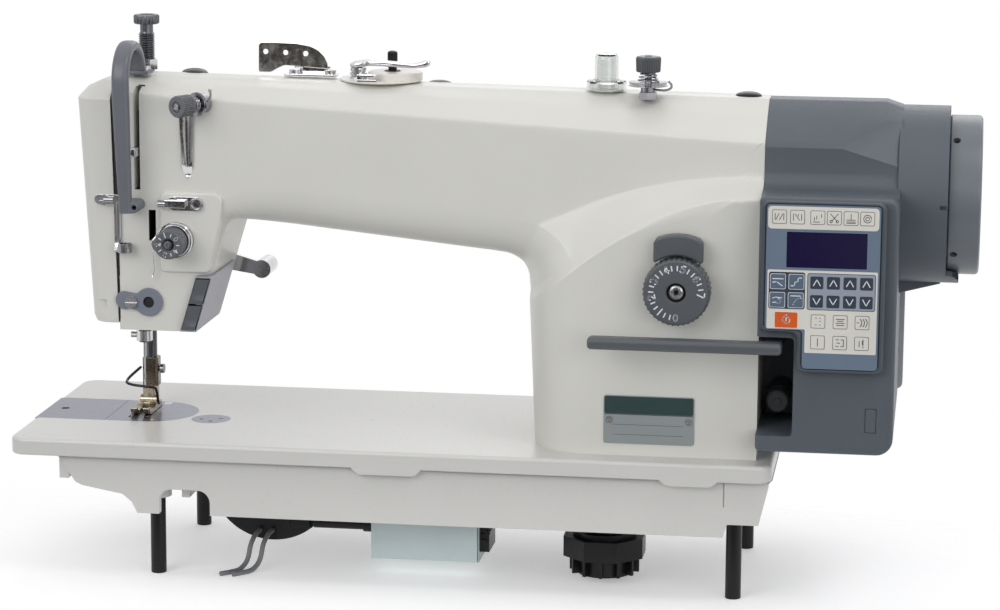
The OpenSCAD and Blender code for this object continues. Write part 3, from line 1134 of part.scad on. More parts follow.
module fasteners() color("silver") stand() {
    for (k = [-1, 1]) translate([plate_round_x + 4, axis_y + k * plate_screw_y, -1.6]) slotted_head(3.3,
        1.6);
    translate([guard_x1 - 2, guard_seat[1] + 5.7, guard_seat[2] + 2.5]) slotted_head(3.4, 2.4);
    for (x = [164, 187]) translate([x, bracket_seat[2] + 6, bracket_seat[4] + 1.6]) slotted_head(3.6, 2.6);
    for (x = [name_x[0] + 3.5, name_x[1] - 3.5]) translate([x, pillar_front - name_t,
        name_z]) rotate([90, 0, 0]) slotted_head(2.2, 1);
    translate([52.5, hook_plate_y - 1.3, 145]) rotate([90, 0, 0]) slotted_head(3.2, 2.2);
    translate([97, pad_front - 1.5, 145.4]) rotate([90, 0, 0]) slotted_head(2.8, 1.8);
    translate([69, head_front - 2.3, 80.6]) rotate([90, 0, 0]) slotted_head(4, 2.4);
    difference() {
        translate([needle_x, presser_y, nut_seat[2]]) cylinder(h = 6.6, r = 6.8, $fn = 6);
        rod_z(200, 240, needle_x, presser_y, screw_r + run_fit);
    }
    rod_y(axis_y + head_half_w - 11, axis_y + head_half_w + 7, lifter_x, lifter_z, lifter_stud_r);
    rod_y(axis_y + head_half_w + 6.3, axis_y + head_half_w + 8.5, lifter_x, lifter_z, 6.5);
    for (s = face_screws) translate([s[0], axis_y, s[1]]) rotate([0, -90, 0]) slotted_head(4.5, 2);
}

bed_casting();
slide_plate();
needle_plate();
bed_cover();
fasteners();
legs();
arm_casting();
face_plate();
oval_plugs();
take_up_guard();
take_up_lever();
needle_bar();
needle_clamp();
needle();
bar_bushes();
presser_bar();
presser_foot();
finger_guard();
presser_spring();
pressure_screw();
lifter_lever();
pretension_base();
pretension_knob();
left_thread_hook();
thread_guide();
tension_post();
tension_knob();
check_spring();
eyelet_plate();
switch_box();
upper_button();
lower_button();
hole_bracket();
winder_base();
winder_spindle();
winder_lever();
crank_link();
oil_sight();
top_post();
top_knob();
stitch_dial();
dial_lock();
reverse_lever();
nameplate();
motor_housing();
rear_cover();
panel_frame();
panel_overlay();
handwheel();
main_shaft();
oil_pump();
shaft_bushes();
front_crank();
timing_belt();
hook_shaft();
hook_basket();
feed_bar();
feed_rock_shaft();
solenoids();
lead_pair();
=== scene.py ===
import json
from math import copysign, cos, hypot, pi, radians, sin, sqrt

import bmesh
import bpy
from mathutils import Matrix, Vector


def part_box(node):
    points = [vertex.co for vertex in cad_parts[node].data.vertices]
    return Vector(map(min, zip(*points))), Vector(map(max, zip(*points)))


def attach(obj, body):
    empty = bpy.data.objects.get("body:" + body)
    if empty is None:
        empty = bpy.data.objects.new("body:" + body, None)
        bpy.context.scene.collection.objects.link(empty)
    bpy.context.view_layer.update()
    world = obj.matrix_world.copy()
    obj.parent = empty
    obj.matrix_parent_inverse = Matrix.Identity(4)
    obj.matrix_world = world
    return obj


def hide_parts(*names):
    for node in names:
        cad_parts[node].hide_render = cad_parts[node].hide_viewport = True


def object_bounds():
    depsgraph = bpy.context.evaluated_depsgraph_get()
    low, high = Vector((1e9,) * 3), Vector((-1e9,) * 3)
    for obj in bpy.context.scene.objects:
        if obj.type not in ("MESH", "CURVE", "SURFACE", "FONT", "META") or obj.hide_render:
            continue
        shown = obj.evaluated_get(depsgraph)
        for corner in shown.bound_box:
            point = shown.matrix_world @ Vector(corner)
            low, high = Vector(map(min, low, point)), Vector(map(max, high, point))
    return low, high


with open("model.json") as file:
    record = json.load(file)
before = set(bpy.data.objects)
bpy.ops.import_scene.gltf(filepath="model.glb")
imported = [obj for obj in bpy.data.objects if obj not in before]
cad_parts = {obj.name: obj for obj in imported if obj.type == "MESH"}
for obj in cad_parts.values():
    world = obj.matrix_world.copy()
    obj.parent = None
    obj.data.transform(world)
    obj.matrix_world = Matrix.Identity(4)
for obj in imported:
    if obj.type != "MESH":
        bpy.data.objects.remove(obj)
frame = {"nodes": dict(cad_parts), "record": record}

cad_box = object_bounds()

# ---------------------------------------------------------------- places
# Points are given in the machine's own axes, in millimetres: x from the bed's left end, y from its front
# edge, z from the bed top.
bed_low, bed_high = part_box("bed_casting")
MM = 0.001
AXIS_Y, SHAFT_Z = 88.0, 156.4  # the main shaft's line
BODY_OF = {node: body for body, nodes in frame["record"]["behaviour"]["bodies"].items() for node in nodes}
SLOT_OF = {row["node"]: row["material_slot"] for row in frame["record"]["subparts"]}


def at(x, y, z):
    return Vector((bed_low.x + x * MM, bed_low.y + y * MM, bed_high.z + z * MM))


def machine_point(v):
    return (v.x - bed_low.x) / MM, (v.y - bed_low.y) / MM, (v.z - bed_high.z) / MM


# ---------------------------------------------------------------- camera
CAMERA_AT = (574.5, -1816.0, 439.3)
YAW, PITCH, ROLL = radians(8.283), radians(10.646), radians(0.333)
FOCAL = 3.088  # focal length as a share of the picture's width
SENSOR = 36.0


def make_camera():
    forward = Vector((-sin(YAW) * cos(PITCH), cos(YAW) * cos(PITCH), -sin(PITCH)))
    level = Vector((cos(YAW), sin(YAW), 0))
    upright = level.cross(forward)
    right = cos(ROLL) * level + sin(ROLL) * upright
    up = -sin(ROLL) * level + cos(ROLL) * upright
    data = bpy.data.cameras.new("camera")
    data.sensor_width = SENSOR
    data.lens = FOCAL * SENSOR
    data.clip_end = 50
    camera = added("camera", data)
    turn = Matrix((right, up, -forward)).transposed().to_4x4()
    camera.matrix_world = Matrix.Translation(at(*CAMERA_AT)) @ turn
    bpy.context.scene.camera = camera


def added(name, data):
    """A new object of the data, put into the scene."""
    made = bpy.data.objects.new(name, data)
    bpy.context.scene.collection.objects.link(made)
    return made


make_camera()


# ---------------------------------------------------------------- materials
def linear(rgb):
    return tuple((c / 255 / 12.92) if c <= 10 else ((c / 255 + 0.055) / 1.055) ** 2.4 for c in rgb)


def blended(rgb, factor):
    return tuple(min(1.0, c * factor) for c in linear(rgb)) + (1.0,)


def plug(tree, node, values):
    """Sets a node's inputs; an output among the values is linked."""
    for key, value in values.items():
        if isinstance(value, bpy.types.NodeSocket):
            tree.links.new(value, node.inputs[key])
        else:
            node.inputs[key].default_value = value


def add(tree, kind, values, **settings):
    """A new shader node; gives its first output."""
    made = tree.nodes.new("ShaderNode" + kind)
    for key, value in settings.items():
        setattr(made, key, value)
    plug(tree, made, values)
    return made.outputs[0]


def ramp(tree, source, *stops):
    """A colour ramp through (position, colour) stops."""
    colour = add(tree, "ValToRGB", {"Fac": source})
    elements = colour.node.color_ramp.elements
    for element, stop in ((elements[0], stops[0]), (elements[1], stops[-1])):
        element.position, element.color = stop
    for position, shade in stops[1:-1]:
        elements.new(position).color = shade
    return colour


def coordinates(tree, output):
    return tree.nodes.new("ShaderNodeTexCoord").outputs[output]


class Finish:
    """A procedural material: a body colour with slow variation, grain in its roughness and a fine relief."""

    def __init__(self, name, rgb, rough, metal=0.0):
        self.material = bpy.data.materials.new(name)
        self.material.use_nodes = True
        self.tree = self.material.node_tree
        self.rgb, self.rough = rgb, rough
        self.place = coordinates(self.tree, "Object")
        self.height = None
        self.put({"Metallic": metal, "Roughness": rough})

    def put(self, values):
        plug(self.tree, self.tree.nodes["Principled BSDF"], values)
        return self

    def noise(self, scale, detail, stretch):
        spot = add(self.tree, "Mapping", {"Scale": stretch, "Vector": self.place})
        return add(self.tree, "TexNoise", {"Scale": scale, "Detail": detail, "Vector": spot})

    def tint(self, spread=0.03, scale=40, stretch=(1, 1, 1)):
        """Slow variation of the body colour."""
        low, high = blended(self.rgb, 1 - spread), blended(self.rgb, 1 + spread)
        colour = ramp(self.tree, self.noise(scale, 4, stretch), (0.3, low), (0.7, high))
        return self.put({"Base Color": colour})

    def grain(self, spread=0.08, scale=300, stretch=(1, 1, 1)):
        """Fine variation of the roughness."""
        span = add(self.tree, "MapRange", {
            "From Min": 0.3, "From Max": 0.7, "To Min": self.rough - spread, "To Max": self.rough + spread,
            "Value": self.noise(scale, 3, stretch)})
        return self.put({"Roughness": span})

    def relief(self, distance, scale, strength=1.0, detail=2.0, stretch=(1, 1, 1)):
        """Bump of the given depth in millimetres; further calls add finer or coarser layers."""
        values = {"Distance": distance * MM, "Strength": strength, "Height": self.noise(scale, detail, stretch)}
        if self.height is not None:
            values["Normal"] = self.height
        self.height = add(self.tree, "Bump", values)
        return self.put({"Normal": self.height})


def enamel(name, rgb, rough=0.42, texture=0.05):
    made = Finish(name, rgb, rough).tint(0.012, 18).grain(0.05, 500)
    made.relief(texture, 900, 0.5).relief(texture * 2, 260, 0.35)
    return made.put({"Coat Weight": 0.25, "Coat Roughness": 0.25}).material


def plastic(name, rgb, rough=0.5, texture=0.02, shine=0.5):
    made = Finish(name, rgb, rough).tint(0.03, 30).grain(0.06, 600).relief(texture, 1400, 0.6)
    return made.put({"Specular IOR Level": shine}).material


def metal(name, rgb, rough=0.25, spread=0.08, scale=900, stretch=(1, 1, 1)):
    made = Finish(name, rgb, rough, 1.0).tint(spread, 60, stretch).grain(0.08, scale, stretch)
    return made.relief(0.006, scale, 0.5, 3, stretch).material


IVORY = enamel("ivory_enamel", (219, 218, 211))
BED_WHITE = enamel("bed_enamel", (210, 209, 205), 0.32, 0.03)
DRUM_CREAM = enamel("winder_cream", (226, 222, 214), 0.4, 0.01)
# Painted shade: a near-black finish for the walls inside openings, the casting's end face behind the seam and
# the eyelet's hole floor.
DEEP_SHADE = plastic("painted_shade_inside", (16, 16, 15), 0.7, 0.05)
SLATE = plastic("slate_housing", (82, 89, 97), 0.45, 0.03)
SLATE_DARK = plastic("slate_panel", (66, 74, 82), 0.42, 0.02)
# Painted shade: a darker, unshiny copy of the housing's slate for the cover's end face, so the gap to the
# handwheel reads dark.
MATT_SHADED_SLATE = plastic("slate_cover_end_painted_shade", (66, 70, 76), 0.85, 0.005, 0.0)
# Painted shade: a dark grey for the solenoid deep in the housing's bay.
SHADOW_GREY = plastic("solenoid_painted_shade_grey", (54, 58, 62), 0.4, 0.01)
GUARD_GREY = plastic("guard_grey", (104, 106, 114), 0.35)
DIAL_GREY = plastic("dial_grey", (84, 88, 92), 0.4)
KNOB_GREY = plastic("knob_grey", (94, 96, 101), 0.34, 0.01)
EIGHT_GREY = plastic("eyelet_grey", (122, 128, 140), 0.35, 0.01)
WHEEL_GREY = plastic("wheel_grey", (106, 112, 118), 0.34, 0.01)
BLACK = plastic("black_plastic", (18, 18, 20), 0.34, 0.01, 0.22)
BLACK_STEEL = plastic("black_oxide", (18, 18, 20), 0.34, 0.015, 0.3)
LILAC = plastic("lilac_grey", (170, 170, 178), 0.45)
CLEAR = plastic("clear_cap", (232, 234, 230), 0.1)
RUBBER = plastic("belt_rubber", (28, 28, 30), 0.7, 0.05)
SHEATH = plastic("lead_sheath", (112, 114, 116), 0.5, 0.01)
PLATE_GREY = plastic("plate_paint_grey", (146, 153, 153), 0.4, 0.01)
PLATE_GREEN = plastic("plate_paint_green", (38, 62, 62), 0.4, 0.01)
PRINT_BLUE = plastic("print_blue_grey", (104, 121, 140), 0.38, 0.008)
PRINT_CREAM = plastic("print_cream", (222, 219, 210), 0.42, 0.008)
PRINT_DARK = plastic("print_dark", (66, 68, 70), 0.4, 0.004)
PRINT_WHITE = plastic("print_white", (226, 230, 234), 0.4, 0.004)
PRINT_ORANGE = plastic("print_orange", (222, 92, 10), 0.35, 0.008)
PRINT_SILVER = plastic("print_silver", (152, 160, 174), 0.36, 0.008)
KEY_DARK = plastic("key_dark", (50, 60, 72), 0.36, 0.008)
KEY_BLUE = plastic("key_blue", (88, 106, 126), 0.36, 0.008)
SCREEN = plastic("display_window", (20, 11, 58), 0.12, 0.002)
GROUND = metal("ground_plate", (128, 130, 142), 0.32, 0.05, 260, (1, 12, 1))
BRIGHT = metal("nickel_plate", (206, 206, 208), 0.16)
STEEL = metal("turned_steel", (168, 168, 170), 0.3)
BRONZE = metal("bush_bronze", (176, 140, 84), 0.35)
CHROME = metal("polished_chrome", (214, 214, 216), 0.1, 0.04, 700)
DARK_CHROME = metal("worn_chrome", (150, 150, 154), 0.22, 0.1, 700)
GUN_METAL = metal("gun_metal", (104, 106, 110), 0.28, 0.1, 700)
# Painted highlight and shade: lighter and darker copies of the one foot steel, the lighter for the hinge and
# toes, the darker for the shank.
LIT_FOOT_STEEL = metal("foot_steel_painted_highlight", (172, 162, 146), 0.24, 0.1, 500)
SHADED_FOOT_STEEL = metal("shank_steel_painted_shade", (104, 95, 84), 0.24, 0.1, 500)
BAR_CHROME = metal("bar_chrome", (98, 98, 102), 0.18, 0.1, 500)
BLADE_CHROME = (Finish("blade_chrome", (224, 222, 218), 0.12, 1.0).tint(0.04, 50).grain(0.05, 400)
                .relief(1.6, 46, 1.0, 1).relief(0.02, 400, 0.5).material)
GLASS = (Finish("clear_cap_wall", (226, 228, 226), 0.04).tint(0.01, 60).grain(0.02, 500)
         .relief(0.01, 500, 0.3).put({"Transmission Weight": 1.0, "IOR": 1.46}).material)
ZINC_BOX = (Finish("zinc_sheet_spangled", (190, 203, 204), 0.46, 0.2).tint(0.035, 34, (1, 1, 2.4))
            .grain(0.08, 160).relief(0.03, 120, 0.6).relief(0.01, 900, 0.5).material)

# Finish and broken edge, in millimetres, of the nodes that keep their own shape; the rest are nickel-plated.
PLATED = (BRIGHT, 0.25)
DRESSED = {
    "face_plate": (IVORY, 0.8), "slide_plate": (GROUND, 0.2), "needle_plate": (GROUND, 0.12),
    "bed_cover": (GROUND, 0.15), "legs": (BLACK_STEEL, 0.5), "finger_guard": (BLACK_STEEL, 0.0),
    "needle": (BRIGHT, 0.0), "presser_spring": (BRIGHT, 0.0),
}
for finish, names in (
        (BLACK_STEEL, "oil_pump"), (BLACK, "oval_plugs"), (LILAC, "switch_box rear_cover"),
        (DIAL_GREY, "upper_button lower_button"), (BRONZE, "bar_bushes shaft_bushes"), (RUBBER, "timing_belt"),
        (STEEL, "main_shaft front_crank crank_link hook_shaft feed_rock_shaft feed_bar"),
        (BAR_CHROME, "needle_bar presser_bar")):
    DRESSED.update({name: (finish, PLATED[1]) for name in names.split()})


# ---------------------------------------------------------------- numbers, outlines and pieces
def lerp(a, b, t):
    return a + (b - a) * t


def clamp01(t):
    return max(0.0, min(1.0, t))


def eased(t):
    t = clamp01(t)
    return t * t * (3 - 2 * t)


def bulge(c, power):
    """A sine or cosine drawn out, so that a round section becomes a fuller one."""
    return copysign(abs(c) ** power, c)


def cubic(a, b, c, d, t):
    """From b to c on a smooth curve between a and d."""
    return 0.5 * (2 * b + (c - a) * t + (2 * a - 5 * b + 4 * c - d) * t * t + (3 * b - a - 3 * c + d) * t ** 3)


def around(n):
    return [2 * pi * k / n for k in range(n)]


def circle_points(cx, cy, r, n, start=0.0, sweep=360.0):
    count = n if sweep == 360.0 else n + 1
    return [(cx + r * cos(radians(start + sweep * i / n)), cy + r * sin(radians(start + sweep * i / n)))
            for i in range(count)]


def rounded_outline(x0, x1, y0, y1, r, n=6):
    """A rectangle with round corners, counter-clockwise from the lower right corner."""
    points = []
    for cx, cy, start in ((x1 - r, y0 + r, -90), (x1 - r, y1 - r, 0), (x0 + r, y1 - r, 90),
                          (x0 + r, y0 + r, 180)):
        points += circle_points(cx, cy, r, n, start, 90)
    return points


def square(x0, x1, y0, y1):
    return [(x0, y0), (x1, y0), (x1, y1), (x0, y1)]


def corners_of(points):
    """Each point with the one before it and the one after it."""
    count = len(points)
    return [[Vector(points[(i + k) % count]) for k in (-1, 0, 1)] for i in range(count)]


def softened(points, radius, n=5):
    """The outline with every corner rounded off to about the given radius."""
    out = []
    for a, b, c in corners_of(points):
        before, after = (a - b), (c - b)
        reach = min(radius, before.length * 0.45, after.length * 0.45)
        p, q = b + before.normalized() * reach, b + after.normalized() * reach
        for k in range(n + 1):
            t = k / n
            out.append(tuple((1 - t) ** 2 * p + 2 * t * (1 - t) * b + t * t * q))
    return out


def smoothed(points, turns=2):
    """A row of points with its corners cut, ends kept."""
    for _ in range(turns):
        out = [points[0]]
        for a, b in zip(points, points[1:]):
            out += [tuple(lerp(p, q, k) for p, q in zip(a, b)) for k in (0.25, 0.75)]
        points = out + [points[-1]]
    return points


def inset_outline(points, distance):
    """An outline moved inwards by a small distance, corner by corner."""
    if not distance:
        return list(points)
    area = sum(a[0] * b[1] - b[0] * a[1] for a, b in zip(points, points[1:] + points[:1]))
    turn = 1 if area > 0 else -1
    out = []
    for a, b, c in corners_of(points):
        d1, d2 = (b - a), (c - b)
        if d1.length < 1e-9 or d2.length < 1e-9:
            out.append(tuple(b))
            continue
        middle = (Vector((-d1.y, d1.x)).normalized() + Vector((-d2.y, d2.x)).normalized()) * turn
        size = max(middle.length_squared / 2, 0.35)
        out.append(tuple(b + middle * (distance / size)))
    return out


def across(axis, u, v, w):
    """A point at (u, v) round an axis and at w along it."""
    return {"z": (u, v, w), "y": (v, w, u), "x": (w, u, v)}[axis]


def moved(point, offset):
    return tuple(p + o for p, o in zip(point, offset))


class Piece:
    """One mesh built up in the machine's millimetres, then placed, given its finishes and its body.

    Faces take finish_index as their place in the row of finishes.
    """

    def __init__(self, name):
        self.name = name
        self.bm = bmesh.new()
        self.finish_index = 0

    def face(self, verts):
        self.bm.faces.new(verts).material_index = self.finish_index

    def rings(self, rings, caps=True):
        """Joins rings of equal count with quads; caps close the two ends."""
        count = len(rings[0])
        verts = [[self.bm.verts.new(p) for p in ring] for ring in rings]
        for a, b in zip(verts, verts[1:]):
            for i in range(count):
                self.face((a[i], a[(i + 1) % count], b[(i + 1) % count], b[i]))
        if caps:
            self.face(verts[0][::-1])
            self.face(verts[-1])

    def extrude(self, outline, low, high, axis="y", edge=0.0, steps=2):
        """A solid of an outline; x and z for axis y, x and y for axis z, y and z for axis x."""
        def put(u, v, w):
            return {"y": (u, w, v), "z": (u, v, w), "x": (w, u, v)}[axis]

        levels = [(low, 0.0), (high, 0.0)]
        if edge > 0:
            levels = [(low + edge * (1 - sin(a)), edge * (1 - cos(a)))
                      for a in (pi / 2 * (1 - i / steps) for i in range(steps + 1))]
            levels += [(low + high - w, inset) for w, inset in reversed(levels)]
        self.rings([[put(u, v, w) for u, v in inset_outline(outline, inset)] for w, inset in levels])

    def disc(self, u, v, r, low, high, axis="y", n=36, edge=0.0):
        """A round bar about (u, v)."""
        self.extrude(circle_points(u, v, r, n), low, high, axis, edge)

    def revolve(self, profile, centre, axis="z", n=48, shape=None):
        """Turns a (radius, height) profile about an axis; shape(angle, radius, height) may change a radius."""
        rings = []
        for radius, height in profile:
            ring = []
            for angle in around(n):
                r = shape(angle, radius, height) if shape else radius
                ring.append(moved(centre, across(axis, r * cos(angle), r * sin(angle), height)))
            rings.append(ring)
        self.rings(rings)

    def box(self, x0, x1, y0, y1, z0, z1, edge=0.3):
        self.extrude(square(x0, x1, z0, z1), y0, y1, "y", edge)

    def tube(self, points, radius, n=10):
        """A round wire along points."""
        path = [Vector(p) for p in points]
        last = len(path) - 1
        tangents = [(path[min(i + 1, last)] - path[max(i - 1, 0)]).normalized() for i in range(last + 1)]
        side = tangents[0].orthogonal().normalized()
        rings = []
        for point, tangent in zip(path, tangents):
            side = (side - tangent * side.dot(tangent)).normalized()
            other = tangent.cross(side)
            rings.append([tuple(point + radius * (cos(a) * side + sin(a) * other)) for a in around(n)])
        self.rings(rings)

    def coil(self, centre, axis, r, length, turns, wire, taper=0.0, n=14):
        """A helical spring starting at centre and running along +axis."""
        points = []
        count = int(turns * n)
        for i in range(count + 1):
            t = i / count
            a = 2 * pi * turns * t
            rr = r - taper * t
            points.append(moved(centre, across(axis, rr * cos(a), rr * sin(a), length * t)))
        self.tube(points, wire, 7)

    def strip(self, rows, thick=0.8):
        """A bent strip from rows of points on its front, given its thickness towards +y."""
        self.rings([row + [(x, y + thick, z) for x, y, z in reversed(row)] for row in rows])

    def stroke(self, runs, place, width, y0, y1):
        """Thin raised strokes on a front face; place(u, v) gives x and z."""
        for run in runs:
            for a, b in zip(run, run[1:]):
                a, b = Vector(place(*a)), Vector(place(*b))
                along = (b - a).normalized() * width / 2
                side = Vector((-along.y, along.x))
                quad = (a - along - side, b + along - side, b + along + side, a - along + side)
                self.extrude([tuple(p) for p in quad], y0, y1)

    def placed(self):
        """The finished shape at its place in the frame."""
        bmesh.ops.recalc_face_normals(self.bm, faces=self.bm.faces)
        for vert in self.bm.verts:
            vert.co = at(*vert.co)
        return self.bm

    def stand_for(self, node, *finishes, smooth=38):
        """Places the piece, which takes the place of a node of the frame."""
        return finish_mesh(self.placed(), self.name, finishes, node, True, smooth)

    def go_with(self, node, *finishes, slot=None):
        """Places the piece, which rides with a node as one of its own."""
        return finish_mesh(self.placed(), self.name, finishes, node, False)


def mark_edges(bm, smooth):
    for edge in bm.edges:
        edge.smooth = len(edge.link_faces) == 2 and edge.calc_face_angle(0) < radians(smooth)
    for face in bm.faces:
        face.smooth = True


def weigh(piece):
    """Large faces keep their own shading next to small rounded edges."""
    piece.modifiers.new("weighted", "WEIGHTED_NORMAL").keep_sharp = True


replaced = set()


def finish_mesh(bm, name, finishes, node, replaces, smooth=38):
    mark_edges(bm, smooth)
    made = added(name, settled(bm, bpy.data.meshes.new(name)))
    for finish in finishes:
        made.data.materials.append(finish)
    weigh(made)
    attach(made, BODY_OF[node])
    if replaces:
        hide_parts(node)
        replaced.add(node)
    return made


def settled(bm, mesh):
    """The mesh, filled from a shape that is done with."""
    bm.to_mesh(mesh)
    bm.free()
    return mesh


def shape_of(mesh):
    bm = bmesh.new()
    bm.from_mesh(mesh)
    return bm


def own_shape(node):
    """The node's own surface, without the seams between its triangles."""
    bm = shape_of(frame["nodes"][node].data)
    bmesh.ops.remove_doubles(bm, verts=bm.verts, dist=2e-6)
    bmesh.ops.dissolve_limit(bm, angle_limit=radians(1.0), verts=bm.verts, edges=bm.edges)
    return bm


def sharp_edges(bm, angle):
    return [e for e in bm.edges if len(e.link_faces) == 2 and e.calc_face_angle(0) > radians(angle)]


def round_off(bm, edges, width, steps, clamp=True):
    bmesh.ops.bevel(bm, geom=edges, offset=width, segments=steps, profile=0.5, affect="EDGES",
                    clamp_overlap=clamp)


def dressed(node, finish, edge):
    """The node's own shape with its sharp edges broken, as a moulded or machined piece has them."""
    bm = own_shape(node)
    if edge > 0:
        round_off(bm, sharp_edges(bm, 28), edge * MM, 2)
    return finish_mesh(bm, node + "_finished", [finish], node, True, 30)


def combined(piece, others, operation):
    """Adds throwaway solids to a piece or takes them out of it, and leaves plain geometry."""
    piece.modifiers.clear()
    for other in others:
        step = piece.modifiers.new("step", "BOOLEAN")
        step.operation = operation
        step.solver = "EXACT"
        step.object = other
    bpy.context.view_layer.update()
    mesh = bpy.data.meshes.new_from_object(piece.evaluated_get(bpy.context.evaluated_depsgraph_get()))
    piece.modifiers.clear()
    bm = shape_of(mesh)
    bmesh.ops.remove_doubles(bm, verts=bm.verts, dist=1e-6)
    bmesh.ops.holes_fill(bm, edges=[e for e in bm.edges if len(e.link_faces) == 1], sides=12)
    mark_edges(bm, 32)
    piece.data = settled(bm, mesh)
    weigh(piece)
    for other in others:
        bpy.data.objects.remove(other)


def tool(build):
    """A throwaway solid; build(piece) adds its shapes."""
    piece = Piece("tool")
    build(piece)
    return added("tool", settled(piece.placed(), bpy.data.meshes.new("tool")))


def join(piece, build):
    combined(piece, [tool(build)], "UNION")


def cut(piece, *builds):
    combined(piece, [tool(build) for build in builds], "DIFFERENCE")


def drill(piece, *holes):
    """Cuts round holes, each given as disc() takes them."""
    cut(piece, *[lambda t, hole=hole: t.disc(*hole) for hole in holes])


def join_shells(piece):
    """Makes one skin of the closed shells of a piece."""
    bm = shape_of(piece.data)
    bm.faces.ensure_lookup_table()
    shells, left = [], {face.index for face in bm.faces}
    while left:
        found, queue = set(), {min(left)}
        while queue:
            found |= queue
            left -= queue
            edges = {edge for index in queue for edge in bm.faces[index].edges}
            queue = {other.index for edge in edges for other in edge.link_faces} & left
        shells.append(found)
    bm.free()
    if len(shells) < 2:
        return

    def shell(keep, mesh):
        part = shape_of(piece.data)
        bmesh.ops.delete(part, geom=[f for f in part.faces if f.index not in keep], context="FACES")
        return settled(part, mesh)

    rest = [added("shell", shell(keep, bpy.data.meshes.new("shell"))) for keep in shells[1:]]
    shell(shells[0], piece.data)
    combined(piece, rest, "UNION")




# ---------------------------------------------------------------- arm casting
HEAD_X, HEAD_END, ARM_END, PILLAR_X = 60.0, 127.0, 465.6, 321.0
HEAD_FOOT, UNDER_LEFT, UNDER_RIGHT, THROAT_R = 62.0, 132.8, 116.7, 22.0
HEAD_HALF, ARM_HALF, PILLAR_HALF = 42.0, 48.0, 70.5
# The joint's dark inside is painted shade on the casting's end face behind it.
SEAM_GAP = 1.0  # dark joint between face plate and casting
THROAT_Z = UNDER_RIGHT - THROAT_R
SWOOSH_X = PILLAR_X + 4


# The lines of the casting as seen from the front: the crown, the crease and the edge below it, the two lines
# between which the pillar's raised front rises out of the arm, the seam with the face plate and the underside.


def crown_z(x):
    return 220.4 - 0.0155 * (x - HEAD_X)


def crease_z(x):
    return 213.5 - 0.055 * (x - HEAD_X)


def edge_z(x):
    return 218.6 - 0.034 * (x - HEAD_X)


def swoosh_hi(x):
    return 170.5 - 35 * (1 - clamp01((x - SWOOSH_X) / (ARM_END - SWOOSH_X))) ** 2.2


def swoosh_lo(x):
    return 160.5 - 48 * (1 - clamp01((x - SWOOSH_X - 25) / (ARM_END - SWOOSH_X - 25))) ** 2


def seam_x(z):
    return HEAD_X - 0.0225 * (z - HEAD_FOOT)


def head_side(z):
    return HEAD_END + 2 - 0.30 * (UNDER_LEFT - 2 - z)


def under_z(x):
    return lerp(UNDER_LEFT, UNDER_RIGHT, (x - HEAD_END - 9) / (PILLAR_X - THROAT_R - HEAD_END - 9))


def body_half(x):
    return lerp(HEAD_HALF, ARM_HALF, clamp01((x - HEAD_END) / 260))


def raised(x, z):
    """How far the pillar's raised front stands out, from 0 on the arm to 1 on the pillar's face."""
    start = clamp01((x - SWOOSH_X + 14) / 14)
    t = clamp01((swoosh_hi(x) - z) / (swoosh_hi(x) - swoosh_lo(x)))
    return start * (0.35 * t + 0.65 * t ** 1.6)


def half_sharp(x, z):
    if z > edge_z(x):
        return lerp(28, 10, clamp01((z - edge_z(x)) / (crown_z(x) - edge_z(x))))
    if z > crease_z(x):
        return lerp(body_half(x), 28, (z - crease_z(x)) / (edge_z(x) - crease_z(x)))
    return lerp(body_half(x), PILLAR_HALF, raised(x, z))


def half_at(x, z):
    """Half width of the casting, with its creases softened over about two millimetres."""
    spread = 1.1
    return sum(half_sharp(x, z + spread * k / 3) for k in range(-3, 4)) / 7


def crossing(p, q, curve):
    low, high = 0.0, 1.0
    for _ in range(22):
        t = (low + high) / 2
        if lerp(p[1], q[1], t) > curve(lerp(p[0], q[0], t)):
            high = t
        else:
            low = t
    return (low + high) / 2


def half_ring(p, q, r):
    """Points (x, half width, z) from the inner point p to the outer point q of one section."""
    length = hypot(q[0] - p[0], q[1] - p[1])
    t5 = r / length
    crowned = q[1] > edge_z(q[0]) + 0.5
    tc = crossing(p, q, crease_z) if q[1] > crease_z(q[0]) + 0.5 else 0.95
    te = crossing(p, q, edge_z) if crowned else (tc + 1) / 2
    pillar = q[0] > SWOOSH_X + 5
    lo = min(crossing(p, q, swoosh_lo), 0.87) if pillar and q[1] > swoosh_lo(q[0]) + 0.5 else lerp(t5, tc, 0.45)
    hi = min(crossing(p, q, swoosh_hi), 0.91) if pillar and q[1] > swoosh_hi(q[0]) + 0.5 else lerp(t5, tc, 0.75)
    lo = max(lo, t5 + 0.05)
    hi = max(hi, lo + 0.03)
    tc = max(tc, hi + 0.004)
    te = max(te, tc + 0.003)
    marks = []
    for a, b, count in ((t5, lo, 10), (lo, hi, 10), (hi, tc, 9), (tc, te, 7), (te, 1.0, 6)):
        marks += [lerp(a, b, eased(i / count) if (a, b) == (hi, tc) else i / count) for i in range(count)]
    marks.append(1.0)
    start = (lerp(p[0], q[0], t5), lerp(p[1], q[1], t5))
    wide = half_at(*start)
    points = []
    for i in range(9):
        a = pi / 2 * i / 9
        t = t5 * (1 - cos(a))
        points.append((lerp(p[0], q[0], t), wide - r + r * sin(a), lerp(p[1], q[1], t)))
    for t in marks:
        x, z = lerp(p[0], q[0], t), lerp(p[1], q[1], t)
        points.append((x, half_at(x, z), z))
    return points


def arm_ring(p, q, r):
    half = half_ring(p, q, r)
    return (
        [(p[0], AXIS_Y, p[1])]
        + [(x, AXIS_Y - w, z) for x, w, z in half]
        + [(q[0], AXIS_Y, q[1])]
        + [(x, AXIS_Y + w, z) for x, w, z in reversed(half)]
    )


def throat(angle):
    a = radians(angle)
    return (PILLAR_X - THROAT_R + THROAT_R * sin(a), THROAT_Z + THROAT_R * cos(a))


def wall_x(z):
    return lerp(PILLAR_X + 4, PILLAR_X, z / THROAT_Z)


